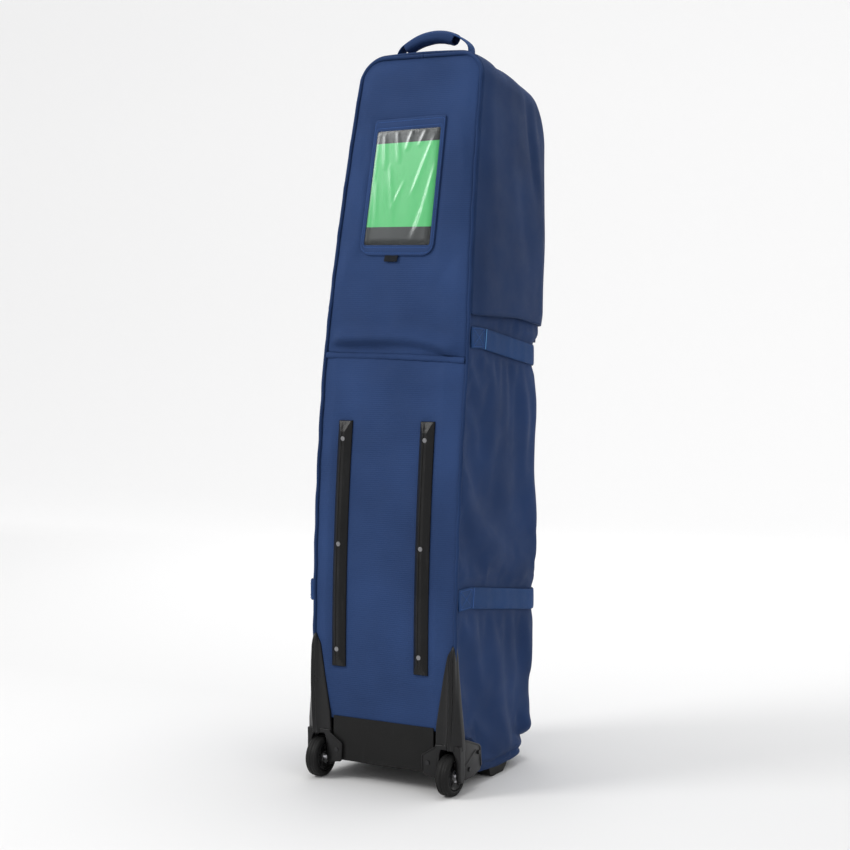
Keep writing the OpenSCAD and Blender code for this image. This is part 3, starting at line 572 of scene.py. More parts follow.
def lower_grid():
    """The unpadded cloth of the lower body, from one back edge round the front to the other."""
    zs = np.concatenate([np.linspace(13, 45, 12), np.linspace(50, 130, 14), np.linspace(137, 797, 84),
        [803, 809]])
    half, front = np.interp(zs, LOW_Z, LOW_HALF), np.interp(zs, LOW_Z, LOW_FRONT)
    cols, held = [], []
    for sign, kind, t in COLUMNS:
        x, y = outline(kind, t, half, front, CORNER, back(zs) + 1.0)
        z = zs.copy()
        if kind == "side":
            covered = y < HOOK
            bottom = np.interp(y, [0, 20, HOOK - 6, HOOK], [90, 86, 66, 20])
            z = np.where(covered & (z < 150), 150 - (150 - z) * (150 - bottom) / 137, z)
            x = x - 1.4 * (t == 0)
            # the cloth hangs lower towards the front, where it covers the feet
            low = ease((60 - z) / 40) * (~covered)
            z = z + low * 5 * ease((165 - y) / 80)
        run = {"side": SIDE_RUN * (t - 1), "arc": CORNER * t,
            "front": CORNER * math.pi / 2 + (1 - t) * FRONT_RUN}
        along = zs * 0 + SIDE_RUN + run[kind]
        along = along if sign > 0 else ROUND_RUN - along
        # rows under the case, in to the tray
        ux, uy = outline(kind, t, UNDER_HALF, UNDER_FRONT, UNDER_CORNER, 0.0)
        first = (float(ux), float(uy), 34.0)
        if kind == "side" and uy < HOOK:
            first = (x[0] - 8, y[0], z[0] + 3)
        middle = ((first[0] + x[0]) / 2, (first[1] + y[0]) / 2, (first[2] + z[0]) / 2 - 4)
        p = np.stack([np.concatenate([[first[0], middle[0]], np.broadcast_to(x, zs.shape)]),
                      np.concatenate([[first[1], middle[1]], np.broadcast_to(y, zs.shape)]),
                      np.concatenate([[34.0 if kind != "side" or uy >= HOOK else first[2], middle[2]], z])],
                      -1)
        p[:, 0] *= sign
        cols.append(p)
        pull = strap_pull(z, t, kind)
        h = np.maximum(pull * 0.9, np.where(z < 26, 0.8, 0))
        h = np.maximum(h, ease((z - 780) / 8))
        if kind == "side" and t < 0.02:
            h = np.ones_like(h)
        held.append(np.concatenate([[1, 1], h]))
        cols[-1] = (cols[-1], along, sign, kind, t, pull)
    pts = np.stack([c[0] for c in cols])
    n = grid_normals(pts)
    if (n[10, 40] * (1, 0, 0)).sum() < 0:
        n = -n
    # folds that the cloth has taken
    marks = [(120, 640, 60, 560, 16, -5), (165, 705, 150, 600, 9, 4), (205, 700, 196, 590, 9, -4),
             (232, 690, 240, 560, 12, 4), (60, 700, 20, 580, 14, 3), (262, 660, 250, 470, 13, -4),
             (228, 560, 300, 420, 20, 5), (120, 520, 215, 330, 24, -4), (300, 500, 290, 310, 12, 5),
             (150, 268, 210, 140, 20, -5), (255, 262, 268, 120, 14, 5), (215, 230, 290, 112, 12, -5),
             (60, 270, 110, 130, 20, 4), (300, 240, 318, 110, 12, -4), (170, 110, 200, 40, 12, 4),
             (214, 72, 345, 26, 7, -17), (232, 92, 272, 60, 7, -7), (246, 84, 340, 44, 10, 9),
             (200, 90, 236, 30, 11, -4), (250, 26, 330, 17, 7, 6)]
    for i, (p, along, sign, kind, t, pull) in enumerate(cols):
        z = p[2:, 2]
        s = along if sign > 0 else ROUND_RUN - along
        d = 0 * z
        edge_in = 1.0 if kind != "side" else ease(t * SIDE_RUN / 30)
        for m in marks:
            if sign > 0:
                d = d + crease(s, z, *m[:4], m[4] * 1.25, m[5] * 0.75)
            else:
                d = d + crease(s, z, m[0] * 0.9 + 14, m[1] - 12, m[2] * 0.95 + 8, m[3] + 10, m[4] * 1.1,
                    m[5] * 0.8)
        # short puckers above and below the straps
        for levels, reach, size in ((UPPER_STRAP, 34, 1.3), (LOWER_STRAP, 40, 0.7)):
            mid = strap_height(levels, kind, t)
            gather = np.sin(along / 9.5 + 1.3 * np.sin(along / 37)) + 0.6 * np.sin(along / 5.3 + 2)
            d = d + size * gather * ease((np.abs(z - mid) - 14)
                / 10) * np.exp(-((np.abs(z - mid) - 18) / reach) ** 2)
        broad = soft_noise(np.stack([along, 0 * z, z * 0.55], -1), 62, 3) * 3.2
        fine = soft_noise(np.stack([along * 1.5, 0 * z, z * 0.5], -1), 24, 5) * 0.5
        d = (d + broad + fine) * (1 - pull) * edge_in - 1.6 * pull * edge_in
        d = d * ease((z - 12) / 12) * (1 - 0.8 * ease((z - 776) / 10))
        if kind == "side":
            d = d * np.where(p[2:, 1] < HOOK, ease((z - 96) / 40) * 0.9 + 0.1, 1)
        pts[i, 2:] += n[i, 2:] * d[:, None]
    return pts, np.stack(held)


lower, lower_held = lower_grid()
lower = settle(axle(lower), lower_held, grow=0.012, gravity=0.25, frames=14, cap=7)
side_n = sum(1 for c in COLUMNS if c[0] > 0 and c[1] == "side") + 5
last = len(COLUMNS)
for name, a, b, cad in (("lower_side_cloth_right", 0, side_n + 1, "lower_side_right"),
                        ("lower_front_cloth", side_n, last - side_n, "lower_front_panel"),
                        ("lower_side_cloth_left", last - side_n - 1, last, "lower_side_left")):
    part = lower[a:b]
    o = sheet_mesh(name, part, 0.0014, side_cloth_painted_shade, outward=1)
    place_piece(o, "case", "side_fabric", cad)


def panel_grid(half, zs, y_of, corner_z=None, corner_x=None, corner_r=None, nu=61):
    """A panel across the case, whose top corners may be round: rows at zs, half(z) wide to each side."""
    rows = []
    for z in zs:
        w = float(half(z))
        if corner_z is not None and z > corner_z:
            w = corner_x + math.sqrt(max(corner_r ** 2 - (z - corner_z) ** 2, 0))
        x = np.linspace(-w, w, nu)
        rows.append(np.stack([x, 0 * x + float(y_of(z)), 0 * x + z], -1))
    return np.stack(rows, 1)


# lower back panel: stretched over its board, pressed in at the rails and drawn in at the seams
zs = np.concatenate([np.linspace(104, 700, 76), np.linspace(704, 719.5, 5)])
low_back = panel_grid(lambda z: BODY_X + (WAIST_X - BODY_X) * (z - TRAY_TOP) / (WAIST - TRAY_TOP) - 2.8, zs,
    back, nu=57)
x, z = low_back[..., 0], low_back[..., 2]
edge_in = ease((138 - np.abs(x)) / 22) * ease((z - 104) / 20) * ease((724 - z) / 16)
lift = 1.6 * edge_in + soft_noise(np.stack([x, 0 * x, z * 0.6], -1), 70, 1) * 1.5 * edge_in
lift += 3.2 * bump(z, 690, 26) * ease((138 - np.abs(x)) / 40) - 1.2 * bump(z, 655,
    16) * ease((120 - np.abs(x)) / 50)
lift += soft_noise(np.stack([x * 0.5, 0 * x, z * 1.3], -1), 26, 2) * 0.5 * edge_in
near_rail = np.exp(-((np.abs(x + 7) - 81) / 18) ** 2) * ease((z - 180) / 12) * ease((632 - z) / 12)
lift = lift * (1 - near_rail) - 0.9 * near_rail
lift += 1.3 * np.exp(-((np.abs(x + 7) - 108) / 9) ** 2) * edge_in
low_back[..., 1] -= lift - 0.4
low_back[..., 1] += 2.6 * (1 - ease((141 - np.abs(x)) / 5))
lean_z = np.clip((z - 560) / 160, 0, 1)
low_back[..., 2] -= x * math.tan(LEAN) * lean_z ** 2
o = sheet_mesh("lower_back_cloth", axle(low_back), 0.0014, body_cloth, outward=1)
place_piece(o, "case", "body_fabric", "lower_back_panel")

# padded back of the hood, which slumps into a fold above the waist seam
LABEL_Z, LABEL_W, LABEL_H, LABEL_X = 1012, 68.5, 118, -8.0
LABEL_LOW, LABEL_HIGH = LABEL_Z - LABEL_H, LABEL_Z + LABEL_H
label_y = float(back(LABEL_LOW) + back(LABEL_HIGH)) / 2 - 2.4
label_slope = math.atan(float(back(LABEL_HIGH) - back(LABEL_LOW)) / (LABEL_HIGH - LABEL_LOW))
r_in = TOP_R - 2.9
corner_z = HOOD_TOP - TOP_R
zs = np.concatenate([np.linspace(727, 800, 18), np.linspace(808, corner_z, 48),
                     corner_z + r_in * np.sin(np.radians(np.linspace(8, 88, 11)))])
up_back = panel_grid(lambda z: WAIST_X + (TOP_X - WAIST_X) * (z - WAIST) / (corner_z - WAIST) - 2.9, zs, back,
                     corner_z, TOP_X - TOP_R, r_in, nu=61)
x, z = up_back[..., 0], up_back[..., 2]
w = np.abs(up_back[-1:, :, 0])
edge_in = ease((w - np.abs(x)) / 24) * ease((z - 724) / 10) * ease((HOOD_TOP - 2 - z) / 26)
lift = 3.0 * edge_in + soft_noise(np.stack([x, 0 * x, z * 0.7], -1), 75, 8) * 2.0 * edge_in
lift += soft_noise(np.stack([x * 0.7, 0 * x, z * 1.2], -1), 30, 9) * 0.7 * edge_in
fold_z = 738 + 8 * np.sin((x + 150) / 80) + 1.5 * np.sin(x / 31) - 5 * ease((x - 40) / 80)
lift += 12.5 * np.exp(-((z - fold_z - 11) / 13) ** 2) * ease((136 - np.abs(x)) / 34)
lift -= 9.5 * np.exp(-((z - fold_z + 5) / 5.5) ** 2) * ease((136 - np.abs(x)) / 30) * (0.6
    + 0.4 * ease(-(x - 30) / 80))
lift += crease(x, z, -132, 806, -70, 1000, 15, 2.6) + crease(x, z, 80, 1150, 116, 1010, 10, 2.2)
lift += crease(x, z, -100, 1130, -82, 1010, 10, -2.2) + crease(x, z, 60, 830, 110, 905, 13, -2.0)
in_label = ease((82 - np.abs(x - LABEL_X)) / 12) * ease((z - LABEL_LOW + 16)
    / 12) * ease((LABEL_HIGH + 14 - z) / 12)
plane = label_y + (z - LABEL_Z) * math.tan(label_slope) + 0.9
y = (back(z) - lift) * (1 - in_label) + plane * in_label
up_back[..., 1] = y + 2.6 * (1 - ease((w + 0.5 - np.abs(x)) / 5)) * ease((corner_z + 20 - z) / 30)
up_back[..., 1] += 2.6 * ease((z - corner_z - r_in + 6) / 6)
o = sheet_mesh("hood_back_padding", hood(up_back), 0.004, body_cloth, outward=1)
place_piece(o, "case", "body_fabric", "upper_back_panel")


# ---- the hood's gusset: up one side, over the top and down the other, from the piping to the zip ----
FRONT_Y, ZIP_OUT, FLAP_HIGH = 357.0, 104.3, 1095.0


def hem_height(y):
    return 798 - 9 * ease((np.asarray(y, float) - 200) / 110)


def hood_ring(stage, t):
    """Half of an upturned U: 'side' runs forward, 'turn' rounds the front edge and 'face' meets the zip."""
    turn = 0.0
    if stage == "side":
        top, r, y_t = HOOD_TOP - 25.5 * t, TOP_R, t
    elif stage == "turn":
        turn = t
        top = HOOD_TOP - 25.5 - 30 * (1 - math.cos(t))
        r, y_t = TOP_R - 12 * (1 - math.cos(t)), 1.0
    else:
        turn = math.pi / 2
        top = HOOD_TOP - 55.5 - (HOOD_TOP - 55.5 - FLAP_HIGH - 31) * t
        r, y_t = 33 - 2.4 * t, 1.0
    rows = []

    def depth(z, share):
        y_back = float(back(z)) + 1.2
        pulled = 4.5 * ease((z - 765) / 30) + 5 * ease((z - 950) / 200) + 4 * ease((z - 1090) / 90)
        near = 14 * ease((812 - z) / 34)
        y_turn = FRONT_Y - 48 - near
        y = y_back + (y_turn - y_back) * y_t
        flat_turn = 0.45 * turn * 2 / math.pi
        y += (48 - 2.0 * ease((z - 900) / 200) - 22 * ease((z - 1116) / 75)) * (0.55 * math.sin(turn)
            + flat_turn)
        seam = WAIST_X + (TOP_X - WAIST_X) * (min(z, corner_z) - WAIST) / (corner_z - WAIST) - 1.5
        half = seam + (float(hood_half(z)) - seam) * float(ease(y_t / 0.15))
        half = half - pulled * y_t * ease((y_t - 0.3) / 0.7) + 1.5 * math.sin(math.pi
            * min(y_t, 1)) * (stage == "side")
        if turn:
            half = half - (half - ZIP_OUT) * (0.55 * (1 - math.cos(turn)) + flat_turn)
        return half * share, y

    z0_top = top - r
    for q in np.linspace(0, 1, 40):
        y_guess = FRONT_Y - 48 if y_t == 1 else 60 + y_t * 240
        z0 = float(hem_height(y_guess + 40 * math.sin(turn)))
        z = z0 + (z0_top - z0) * q
        xx, yy = depth(z, 1.0)
        rows.append((xx, yy, z))
    wide, _ = depth(z0_top, 1.0)
    cx = wide - r
    for a in np.linspace(0, math.pi / 2, 10)[1:]:
        z = z0_top + r * math.sin(a)
        _, yy = depth(min(z, HOOD_TOP - 6), 1.0)
        rows.append((cx + r * math.cos(a), yy, z))
    for q in np.linspace(0, 1, 10)[1:]:
        _, yy = depth(min(top, HOOD_TOP - 6), 1.0)
        rows.append((cx * (1 - q), yy, top + 2.0 * math.sin(q * math.pi / 2) * (stage == "side")))
    return np.array(rows)


stages = ([("side", t) for t in np.linspace(0, 1, 27)]
    + [("turn", a) for a in np.radians(np.linspace(9, 90, 10))]
          + [("face", t) for t in (0.25, 0.5, 0.75, 1.0)])
halves = np.stack([hood_ring(*s) for s in stages], 1)
gusset = np.concatenate([halves, (halves * (-1, 1, 1))[-2::-1]])
n = grid_normals(gusset)
if n[10, 10, 0] < 0:
    n = -n
depth_share = np.linspace(0, 1, len(stages))[None, :] * np.ones((len(gusset), 1))
x, y, z = np.moveaxis(gusset, -1, 0)
hem_up = ease((z - 797) / 22)
edge_in = ease(depth_share / 0.09) * ease((0.97 - depth_share) / 0.08)
side_s = np.where(np.arange(len(gusset))[:, None] < len(gusset) / 2, 1.0, -1.0) + 0 * x
d = soft_noise(np.stack([x + y * 0.9, 40 * side_s, z * 0.6 + y * 0.15], -1), 85, 21) * 2.6
d += soft_noise(np.stack([y * 1.2, 40 * side_s, z * 0.42], -1), 34, 22) * 0.6
d += np.where(side_s > 0, 1.0, 0.8) * (
    crease(y, z, 250, 1215, 285, 1010, 13, -4.5) + crease(y, z, 285, 1205, 305, 1000, 12, 3.5)
    + crease(y, z, 100, 1160, 130, 900, 26, 2.5) + crease(y, z, 210, 1100, 255, 860, 22, -2.5)
    + crease(y, z, 140, 1225, 190, 1215, 12, -3.0))
d *= edge_in * (0.25 + 0.75 * hem_up)
d += 1.2 * (1 - ease((z - hem_height(y)) / 14)) - 0.8 * bump(z - hem_height(y), 14, 2.5)
gusset = gusset + n * d[..., None]
gusset[..., 1] -= 1.5 * ease((depth_share - 0.94) / 0.04) * (z > 815)
held = np.maximum(1 - ease(depth_share / 0.05), ease((depth_share - 0.93) / 0.06))
held = np.maximum(held, 0.5 * (1 - ease((z - 793) / 14)))
gusset = settle(hood(gusset), held, grow=0.008, frames=12, push=0.6, gravity=0.1, cap=5, stiff=25)
o = sheet_mesh("hood_gusset_padding", gusset, 0.0045, hood_cloth_painted_shade, outward=1)
place_piece(o, "case", "hood_fabric", "hood_side_left", "hood_side_right", "hood_top", "hood_front_top")


def front_face(z):
    """The hood's front below and across the flap."""
    return FRONT_Y - 14 * ease((812 - np.asarray(z, float)) / 34)


zs = np.concatenate([[788, 789.2], np.linspace(791, 810.6, 8)])
sill = panel_grid(lambda z: 91.4, zs, front_face, nu=41)
sill[..., 1] += 0.9 * bump(sill[..., 2], 798, 9) * ease((92 - np.abs(sill[..., 0])) / 14)
sill[..., 1] += soft_noise(sill, 25, 31) * 0.5 * ease((92 - np.abs(sill[..., 0])) / 10)
o = sheet_mesh("hood_sill_padding", hood(sill), 0.004, hood_cloth_painted_shade, outward=-1)
place_piece(o, "case", "hood_fabric", "hood_sill")

FLAP_R, FLAP_HALF, FLAP_LOW = 19.0, 92.0, 812.0
zs = np.concatenate([np.linspace(811.2, 816, 4), np.linspace(820, FLAP_HIGH - 5, 40),
                     FLAP_HIGH + FLAP_R * np.sin(np.radians(np.linspace(10, 88, 8)))])
flap = panel_grid(lambda z: FLAP_HALF - 0.1, zs, lambda z: FRONT_Y - 0.4, FLAP_HIGH,
    FLAP_HALF - 0.1 - FLAP_R, FLAP_R, nu=49)
x, z = flap[..., 0], flap[..., 2]
edge_in = ease((FLAP_HALF - np.abs(x)) / 30) * ease((z - FLAP_LOW) / 24) * ease((FLAP_HIGH + FLAP_R - z) / 34)
flap[..., 1] += edge_in * (5.5 + soft_noise(flap, 60, 33) * 1.8)
flap[..., 1] += edge_in * (crease(x, z, -60, 830, 30, 1010, 16, 2) + crease(x, z, 70, 1110, 10, 960, 14, -2))
seam_line = np.minimum(FLAP_HALF - np.abs(x), np.minimum(z - FLAP_LOW + 6, FLAP_HIGH + FLAP_R - z))
flap[..., 1] -= 0.9 * bump(seam_line, 8, 1.6)
o = sheet_mesh("front_flap_padding", hood(flap), 0.0035, body_cloth, outward=-1)
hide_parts("front_flap")
hood((0, FRONT_Y, 810.8))
hood((0, FRONT_Y, 818.0))
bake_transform(o)

# ---- piping ----
for sign, side in ((1, "right"), (-1, "left")):
    low = [(sign * (BODY_X + (WAIST_X - BODY_X) * (zz - TRAY_TOP) / (WAIST - TRAY_TOP) - 0.8),
        float(back(zz)) - 0.1, zz)
           for zz in np.linspace(98, 700, 60)]
    mid = corner_z
    high = [(sign * (WAIST_X + (TOP_X - WAIST_X) * (zz - WAIST) / (mid - WAIST) - 1.2),
        float(back(zz)) + 0.4, zz)
            for zz in np.linspace(738, mid, 44)]
    high += [(sign * (TOP_X - TOP_R + (TOP_R - 1.2) * math.cos(a)),
        float(back(mid + TOP_R * math.sin(a))) + 0.4,
              mid + (TOP_R - 1.2) * math.sin(a)) for a in np.radians(np.linspace(8, 90, 12))]
    high += [(sign * xx, float(back(HOOD_TOP - 2)) + 0.4, HOOD_TOP - 1.2) for xx in np.linspace(70, -3, 8)]
    path = np.concatenate([axle(low), hood(high)])
    path[:, 0] += 0.0006 * np.sin(np.arange(len(path)) * 0.9) * sign * (np.abs(path[:, 0]) > 0.1)
    wobble = 0.0031 + 0.00015 * np.sin(np.arange(len(path)) * 1.7)
    o = tube(f"piping_cord_{side}", path, wobble, pipe_cloth, sides=14)
    place_piece(o, "case", "piping_fabric", f"piping_{side}")

xx = np.linspace(-136.5, 136.5, 70)
path = hood(np.stack([xx, float(back(WAIST)) - 1.2 - 0.6 * np.sin(xx / 40),
    WAIST + 1.2 * np.sin(xx / 55 + 1)], -1))
o = tube("waist_welt", path, 0.0052 + 0.0003 * np.sin(np.arange(70) * 0.8), body_cloth, sides=18,
    squash=(1.0, 0.62))
place_piece(o, "case", "piping_fabric", "waist_piping")


# ---- sewing ----
def part_way(s, along, values):
    """The value at distance s along a path."""
    return np.array([np.interp(s, along, values[:, k]) for k in range(3)])


def stitches(name, paths, out, pitch=4.0, length=2.9, width=0.75, material=None):
    """Rows of sewn thread lying on the cloth. paths holds lists of points, and out is where they face."""
    verts, faces, uv = [], [], []
    ring = [(math.cos(a), math.sin(a)) for a in np.radians(np.arange(0, 360, 60))]
    for path in paths:
        path = np.asarray(path, float)
        face = np.broadcast_to(np.asarray(out, float), path.shape)
        along = lengths(path) * 1000
        for s in np.arange(pitch / 2, along[-1] - length / 2, pitch):
            at = part_way(s, along, path)
            ahead = unit(part_way(s + 1, along, path) - at)
            up = unit(part_way(s, along, face))
            side = np.cross(ahead, up)
            first = len(verts)
            for q, size in ((-0.5, 0.35), (-0.28, 1.0), (0.28, 1.0), (0.5, 0.35)):
                for a, c in ring:
                    sink = 0.25 if abs(q) == 0.5 else 0.0
                    verts.append(at + (ahead * q * length + side * a * width / 2 * size
                                       + up * ((c * 0.42 * size + 0.2 - sink) * width)) / 1000)
                    uv.append((s / 1000 + q * length / 1000, a * width / 2000))
            faces += loop_faces(4, len(ring), first)
    return new_object(name, verts, faces, material or stitch_cloth, uv=uv)


# ---- label pocket on the hood's back ----
def on_label(p):
    """A point of the label in mm: x across, y in to the case, z up its slope."""
    p = np.asarray(p, float)
    x, y, z = p[..., 0], p[..., 1], p[..., 2]
    # the pocket is sewn a little wider at its lower left corner, and higher at its upper right one
    down, right = (LABEL_H - z) / (2 * LABEL_H), (x + LABEL_W) / (2 * LABEL_W)
    x, z = x - 8 * down * (1 - right) + 2 * right, z + 5 * right * (1 - down)
    c, s = math.cos(label_slope), math.sin(label_slope)
    return hood(np.stack([LABEL_X + x, label_y + y * c + z * s, LABEL_Z - y * s + z * c], -1))


def rounded(x0, x1, z0, z1, r, per_side=14, per_corner=5, low_r=None):
    """Points round a rectangle with round corners. low_r is the lower corners' radius."""
    out, q = [], low_r or r
    for cx, cz, a0, end, k in ((x1 - q, z0 + q, -90, (x1, z1 - r), q), (x1 - r, z1 - r, 0, (x0 + r, z1), r),
                               (x0 + r, z1 - r, 90, (x0, z0 + q), r), (x0 + q, z0 + q, 180, (x1 - q, z0), q)):
        arc = [(cx + k * math.cos(a), cz + k * math.sin(a))
            for a in np.radians(np.linspace(a0, a0 + 90, per_corner))]
        out += arc
        out += [(arc[-1][0] + (end[0] - arc[-1][0]) * q, arc[-1][1] + (end[1] - arc[-1][1]) * q)
                for q in np.linspace(0, 1, per_side + 1)[1:-1]]
    return np.array(out)


OUT_BOX, IN_BOX = (-LABEL_W, LABEL_W, -LABEL_H, LABEL_H), (-61, 60.5, -100, 97)
outer_loop, inner_loop = rounded(*OUT_BOX, 5, low_r=20), rounded(*IN_BOX, 3)
rows = []
for share, y in ((0.0, -0.1), (0.0, -1.6), (0.06, -2.7), (0.16, -2.9), (0.24, -2.55), (0.32, -3.0),
    (0.5, -3.3), (0.68, -3.1),
                 (0.76, -2.6), (0.84, -3.0), (0.95, -2.8), (1.0, -2.0), (1.0, -1.3), (0.8, -1.2)):
    xz = outer_loop + (inner_loop - outer_loop) * share
    wave = 0.25 * np.sin(np.arange(len(xz)) * 1.9)
    rows.append(np.stack([xz[:, 0], y + wave * (0.2 < share < 0.9), xz[:, 1]], -1))
rows.append(np.stack([outer_loop[:, 0] * 0.99, 0 * outer_loop[:, 0] - 0.1, outer_loop[:, 1] * 0.995], -1))
ring = np.stack(rows, 1)
n_loop, n_row = ring.shape[:2]
loop_s = np.arange(n_loop)[:, None] * 0.008 + np.zeros((1, n_row))
uv = np.stack([np.arange(n_row)[None, :] * 0.0011 + 0 * loop_s, loop_s], -1)
o = new_object("label_frame_binding", on_label(ring), loop_faces(n_loop, n_row, ring=True), body_cloth, uv=uv)
subdivide(o)
place_piece(o, "case", "body_fabric", "label_frame")
label_out = on_label((0, -1, 0)) - on_label((0, 0, 0))
rim_paths = []
for share in (0.24, 0.76):
    xz = outer_loop + (inner_loop - outer_loop) * share
    xz = np.concatenate([xz, xz[:1]])
    rim_paths.append(on_label(np.stack([xz[:, 0], 0 * xz[:, 0] - 2.75, xz[:, 1]], -1)))
o = stitches("label_stitches", rim_paths, label_out, pitch=4.2)
place_piece(o, "case", "body_fabric")

xs, zs = np.linspace(-62, 61.5, 61), np.linspace(-101, 98, 97)
gx, gz = np.meshgrid(xs, zs, indexing="ij")
flat = np.stack([gx, 0 * gx, gz], -1)
inside = ease((61.5 - np.abs(gx)) / 6) * ease((99.5 - np.abs(gz + 1.5)) / 8)
buckling = 0.25 * soft_noise(np.stack([gx, 0 * gx, gz * 0.3], -1), 24, 42)
for fold in ((-46, 92, -38, 30, 3.5, 1.0), (-22, 96, -12, 40, 3.2, 1.1), (8, 96, -2, 60, 3.4, 1.0),
    (34, 96, 22, 66, 3.4, 1.0),
             (50, 84, 16, -20, 3.0, 1.2), (58, 40, 34, -80, 3.4, 1.2), (-30, 40, -12, -60, 3.0, 0.7),
             (44, -40, 26, -98, 6.0, 1.2),
             (-52, 10, -44, -70, 3.0, 0.9), (2, 10, -18, -40, 2.6, 0.6)):
    buckling = buckling + crease(gx, gz, *fold)
flat[..., 1] = -1.75 - inside * (0.5 + np.clip(buckling, -0.4, 1.6))
o = sheet_mesh("label_window_vinyl", on_label(flat), 0.0003, vinyl(), outward=-1)
place_piece(o, "case", "clear_vinyl", "label_window")

INK, LEAF = srgb(12, 14, 15), srgb(74, 190, 106)
gx, gz = np.meshgrid(np.linspace(-64.5, 63.5, 9), np.linspace(-105, 101, 13), indexing="ij")
card = np.stack([gx, 0 * gx - 0.85, gz], -1)
o = sheet_mesh("insert_card_stiff", on_label(card), 0.0005,
    card_print([(0, INK), (0.0365, LEAF), (0.1825, INK)]), outward=-1, levels=0)
place_piece(o, "insert_card", "printed_card", "insert_card")

gx, gz = np.meshgrid(np.linspace(-19, 5, 9), np.linspace(-128.5, -114, 12), indexing="ij")
tab = np.stack([gx, -0.9 - 1.8 * ease((-116 - gz) / 12) - 0.25 * np.sin(gx / 3), gz], -1)
o = sheet_mesh("label_tab_woven", on_label(tab), 0.0011, tab_cloth, outward=-1)
place_piece(o, "case", "tab_fabric", "label_tab")


# ---- compression straps ----
def strap_path(levels, half, front, lift, x_end, sign):
    """A strap's points, and the directions across it and out of it, from the back edge to x_end in front."""
    proud = sign < 0 and levels == LOWER_STRAP
    kinds = [("side", t) for t in ([0, 0.006, 0.013, 0.022] if proud else [0, 0.015])]
    kinds += [("side", t) for t in np.linspace(0.033, 1, 58)] + [("arc", a)
        for a in np.radians(np.linspace(6, 84, 14))]
    kinds += [("front", s) for s in np.linspace(1, (x_end) / (half - CORNER), 26)]
    y0 = float(back(levels[0])) + (1.0 if proud else EDGE)
    pts = []
    for kind, t in kinds:
        x, y = outline(kind, t, half + lift, front + lift, CORNER, y0)
        share = t if kind == "side" else 1.0
        ripple = 0.35 * math.sin(share * 23) + 0.2 * math.sin(share * 51 + 1)
        if proud:
            ripple += PROUD_END * ease(share / 0.018) * ease((0.4 - share) / 0.34)
        a = 0 if kind == "side" else (t if kind == "arc" else math.pi / 2)
        pts.append((sign * (float(x) + ripple * math.cos(a)), float(y) + ripple * math.sin(a),
            strap_height(levels, kind, t)))
    pts = axle(pts)
    d = np.gradient(pts, axis=0)
    outs = np.stack([d[:, 1] * sign, -d[:, 0] * sign, 0 * d[:, 0]], -1)
    outs = unit(outs)
    side = unit(np.cross(d, outs))
    side *= np.sign(side[:, 2:])
    return pts, side, outs


def box_cross(pts, side, outs, along, s0, s1, half_w, rise):
    """The paths of a sewn box with a cross in it, between two distances along a strap."""
    def at(s, w):
        return part_way(s, along, pts) + part_way(s, along, side) * w + part_way(s, along, outs) * rise

    def line(a, b):
        return [at(a[0] + (b[0] - a[0]) * q, a[1] + (b[1] - a[1]) * q) for q in np.linspace(0, 1, 12)]
    w = half_w
    return [line((s0, -w), (s1, -w)), line((s1, -w), (s1, w)), line((s1, w), (s0, w)),
        line((s0, w), (s0, -w)),
            line((s0, -w), (s1, w)), line((s0, w), (s1, -w))]


for name, levels, half, front in (("upper", UPPER_STRAP, 142.0, 314.0), ("lower", LOWER_STRAP, 138.7, 322.0)):
    for side_name, sign, x_end in (("right", 1, 40.0), ("left", -1, 56.4)):
        pts, side, outs = strap_path(levels, half, front, 0.3, x_end, sign)
        w = STRAP_W / 1000
        o = ribbon(f"{name}_strap_web_{side_name}", pts, side, outs, w, 0.0023, webbing)
        place_piece(o, "case", "webbing", f"{name}_strap_{side_name}")
        along = lengths(pts)
        sewn = box_cross(pts, side, outs, along, 0.006, 0.046, w / 2 - 0.004, 0.00235)
        o = stitches(f"{name}_strap_stitches_{side_name}", sewn, (sign, 0, 0), pitch=3.6, length=2.7)
        place_piece(o, "case", "webbing")
        bar = box_cross(pts, side, outs, along, 0.0495, 0.0515, w / 2 - 0.002, 0.0026)[1]
        rows = [[p + np.array([0, dy / 1000, 0]) for p in bar] for dy in (-0.8, -0.3, 0.2, 0.7)]
        o = stitches(f"{name}_bar_tack_{side_name}", rows, (sign, 0, 0), pitch=2.0, length=1.9, width=0.8,
                     material=bar_thread if name == "upper" else stitch_cloth)
        place_piece(o, "case", "webbing")
    # the loose end that the buckle's ladder takes up
    xs = np.linspace(-60, -21.5, 26)
    bow = 1.1 * np.sin(np.clip((xs + 56) / 34, 0, 1) * math.pi) ** 2
    pts = axle(np.stack([xs, front + 0.45 + bow, levels[1] - STRAP_DROP + 0 * xs], -1))
    o = ribbon(f"{name}_strap_slack_web", pts, np.tile((0, 0, 1.0), (26, 1)), np.tile((0, 1.0, 0), (26, 1)),
        STRAP_W / 1000 - 0.001, 0.002, webbing)
    place_piece(o, "case", "webbing", f"{name}_strap_slack")
    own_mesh(o)

# ---- top handle ----
PIVOT = HOOD_TOP + 5.5
ARCH_R, ARCH_DROP, HANDLE_Y, HANDLE_X = 102.5, 64.0, 133.0, 68.0


def arch(angle, r):
    """A point of the handle's arch, angle from the top in degrees, in the hood's own frame."""
    a = math.radians(angle)
    high = r * math.cos(a) - ARCH_DROP
    return (r * math.sin(a) + 4.0 * max(high, 0) / 40, HANDLE_Y, PIVOT + high)


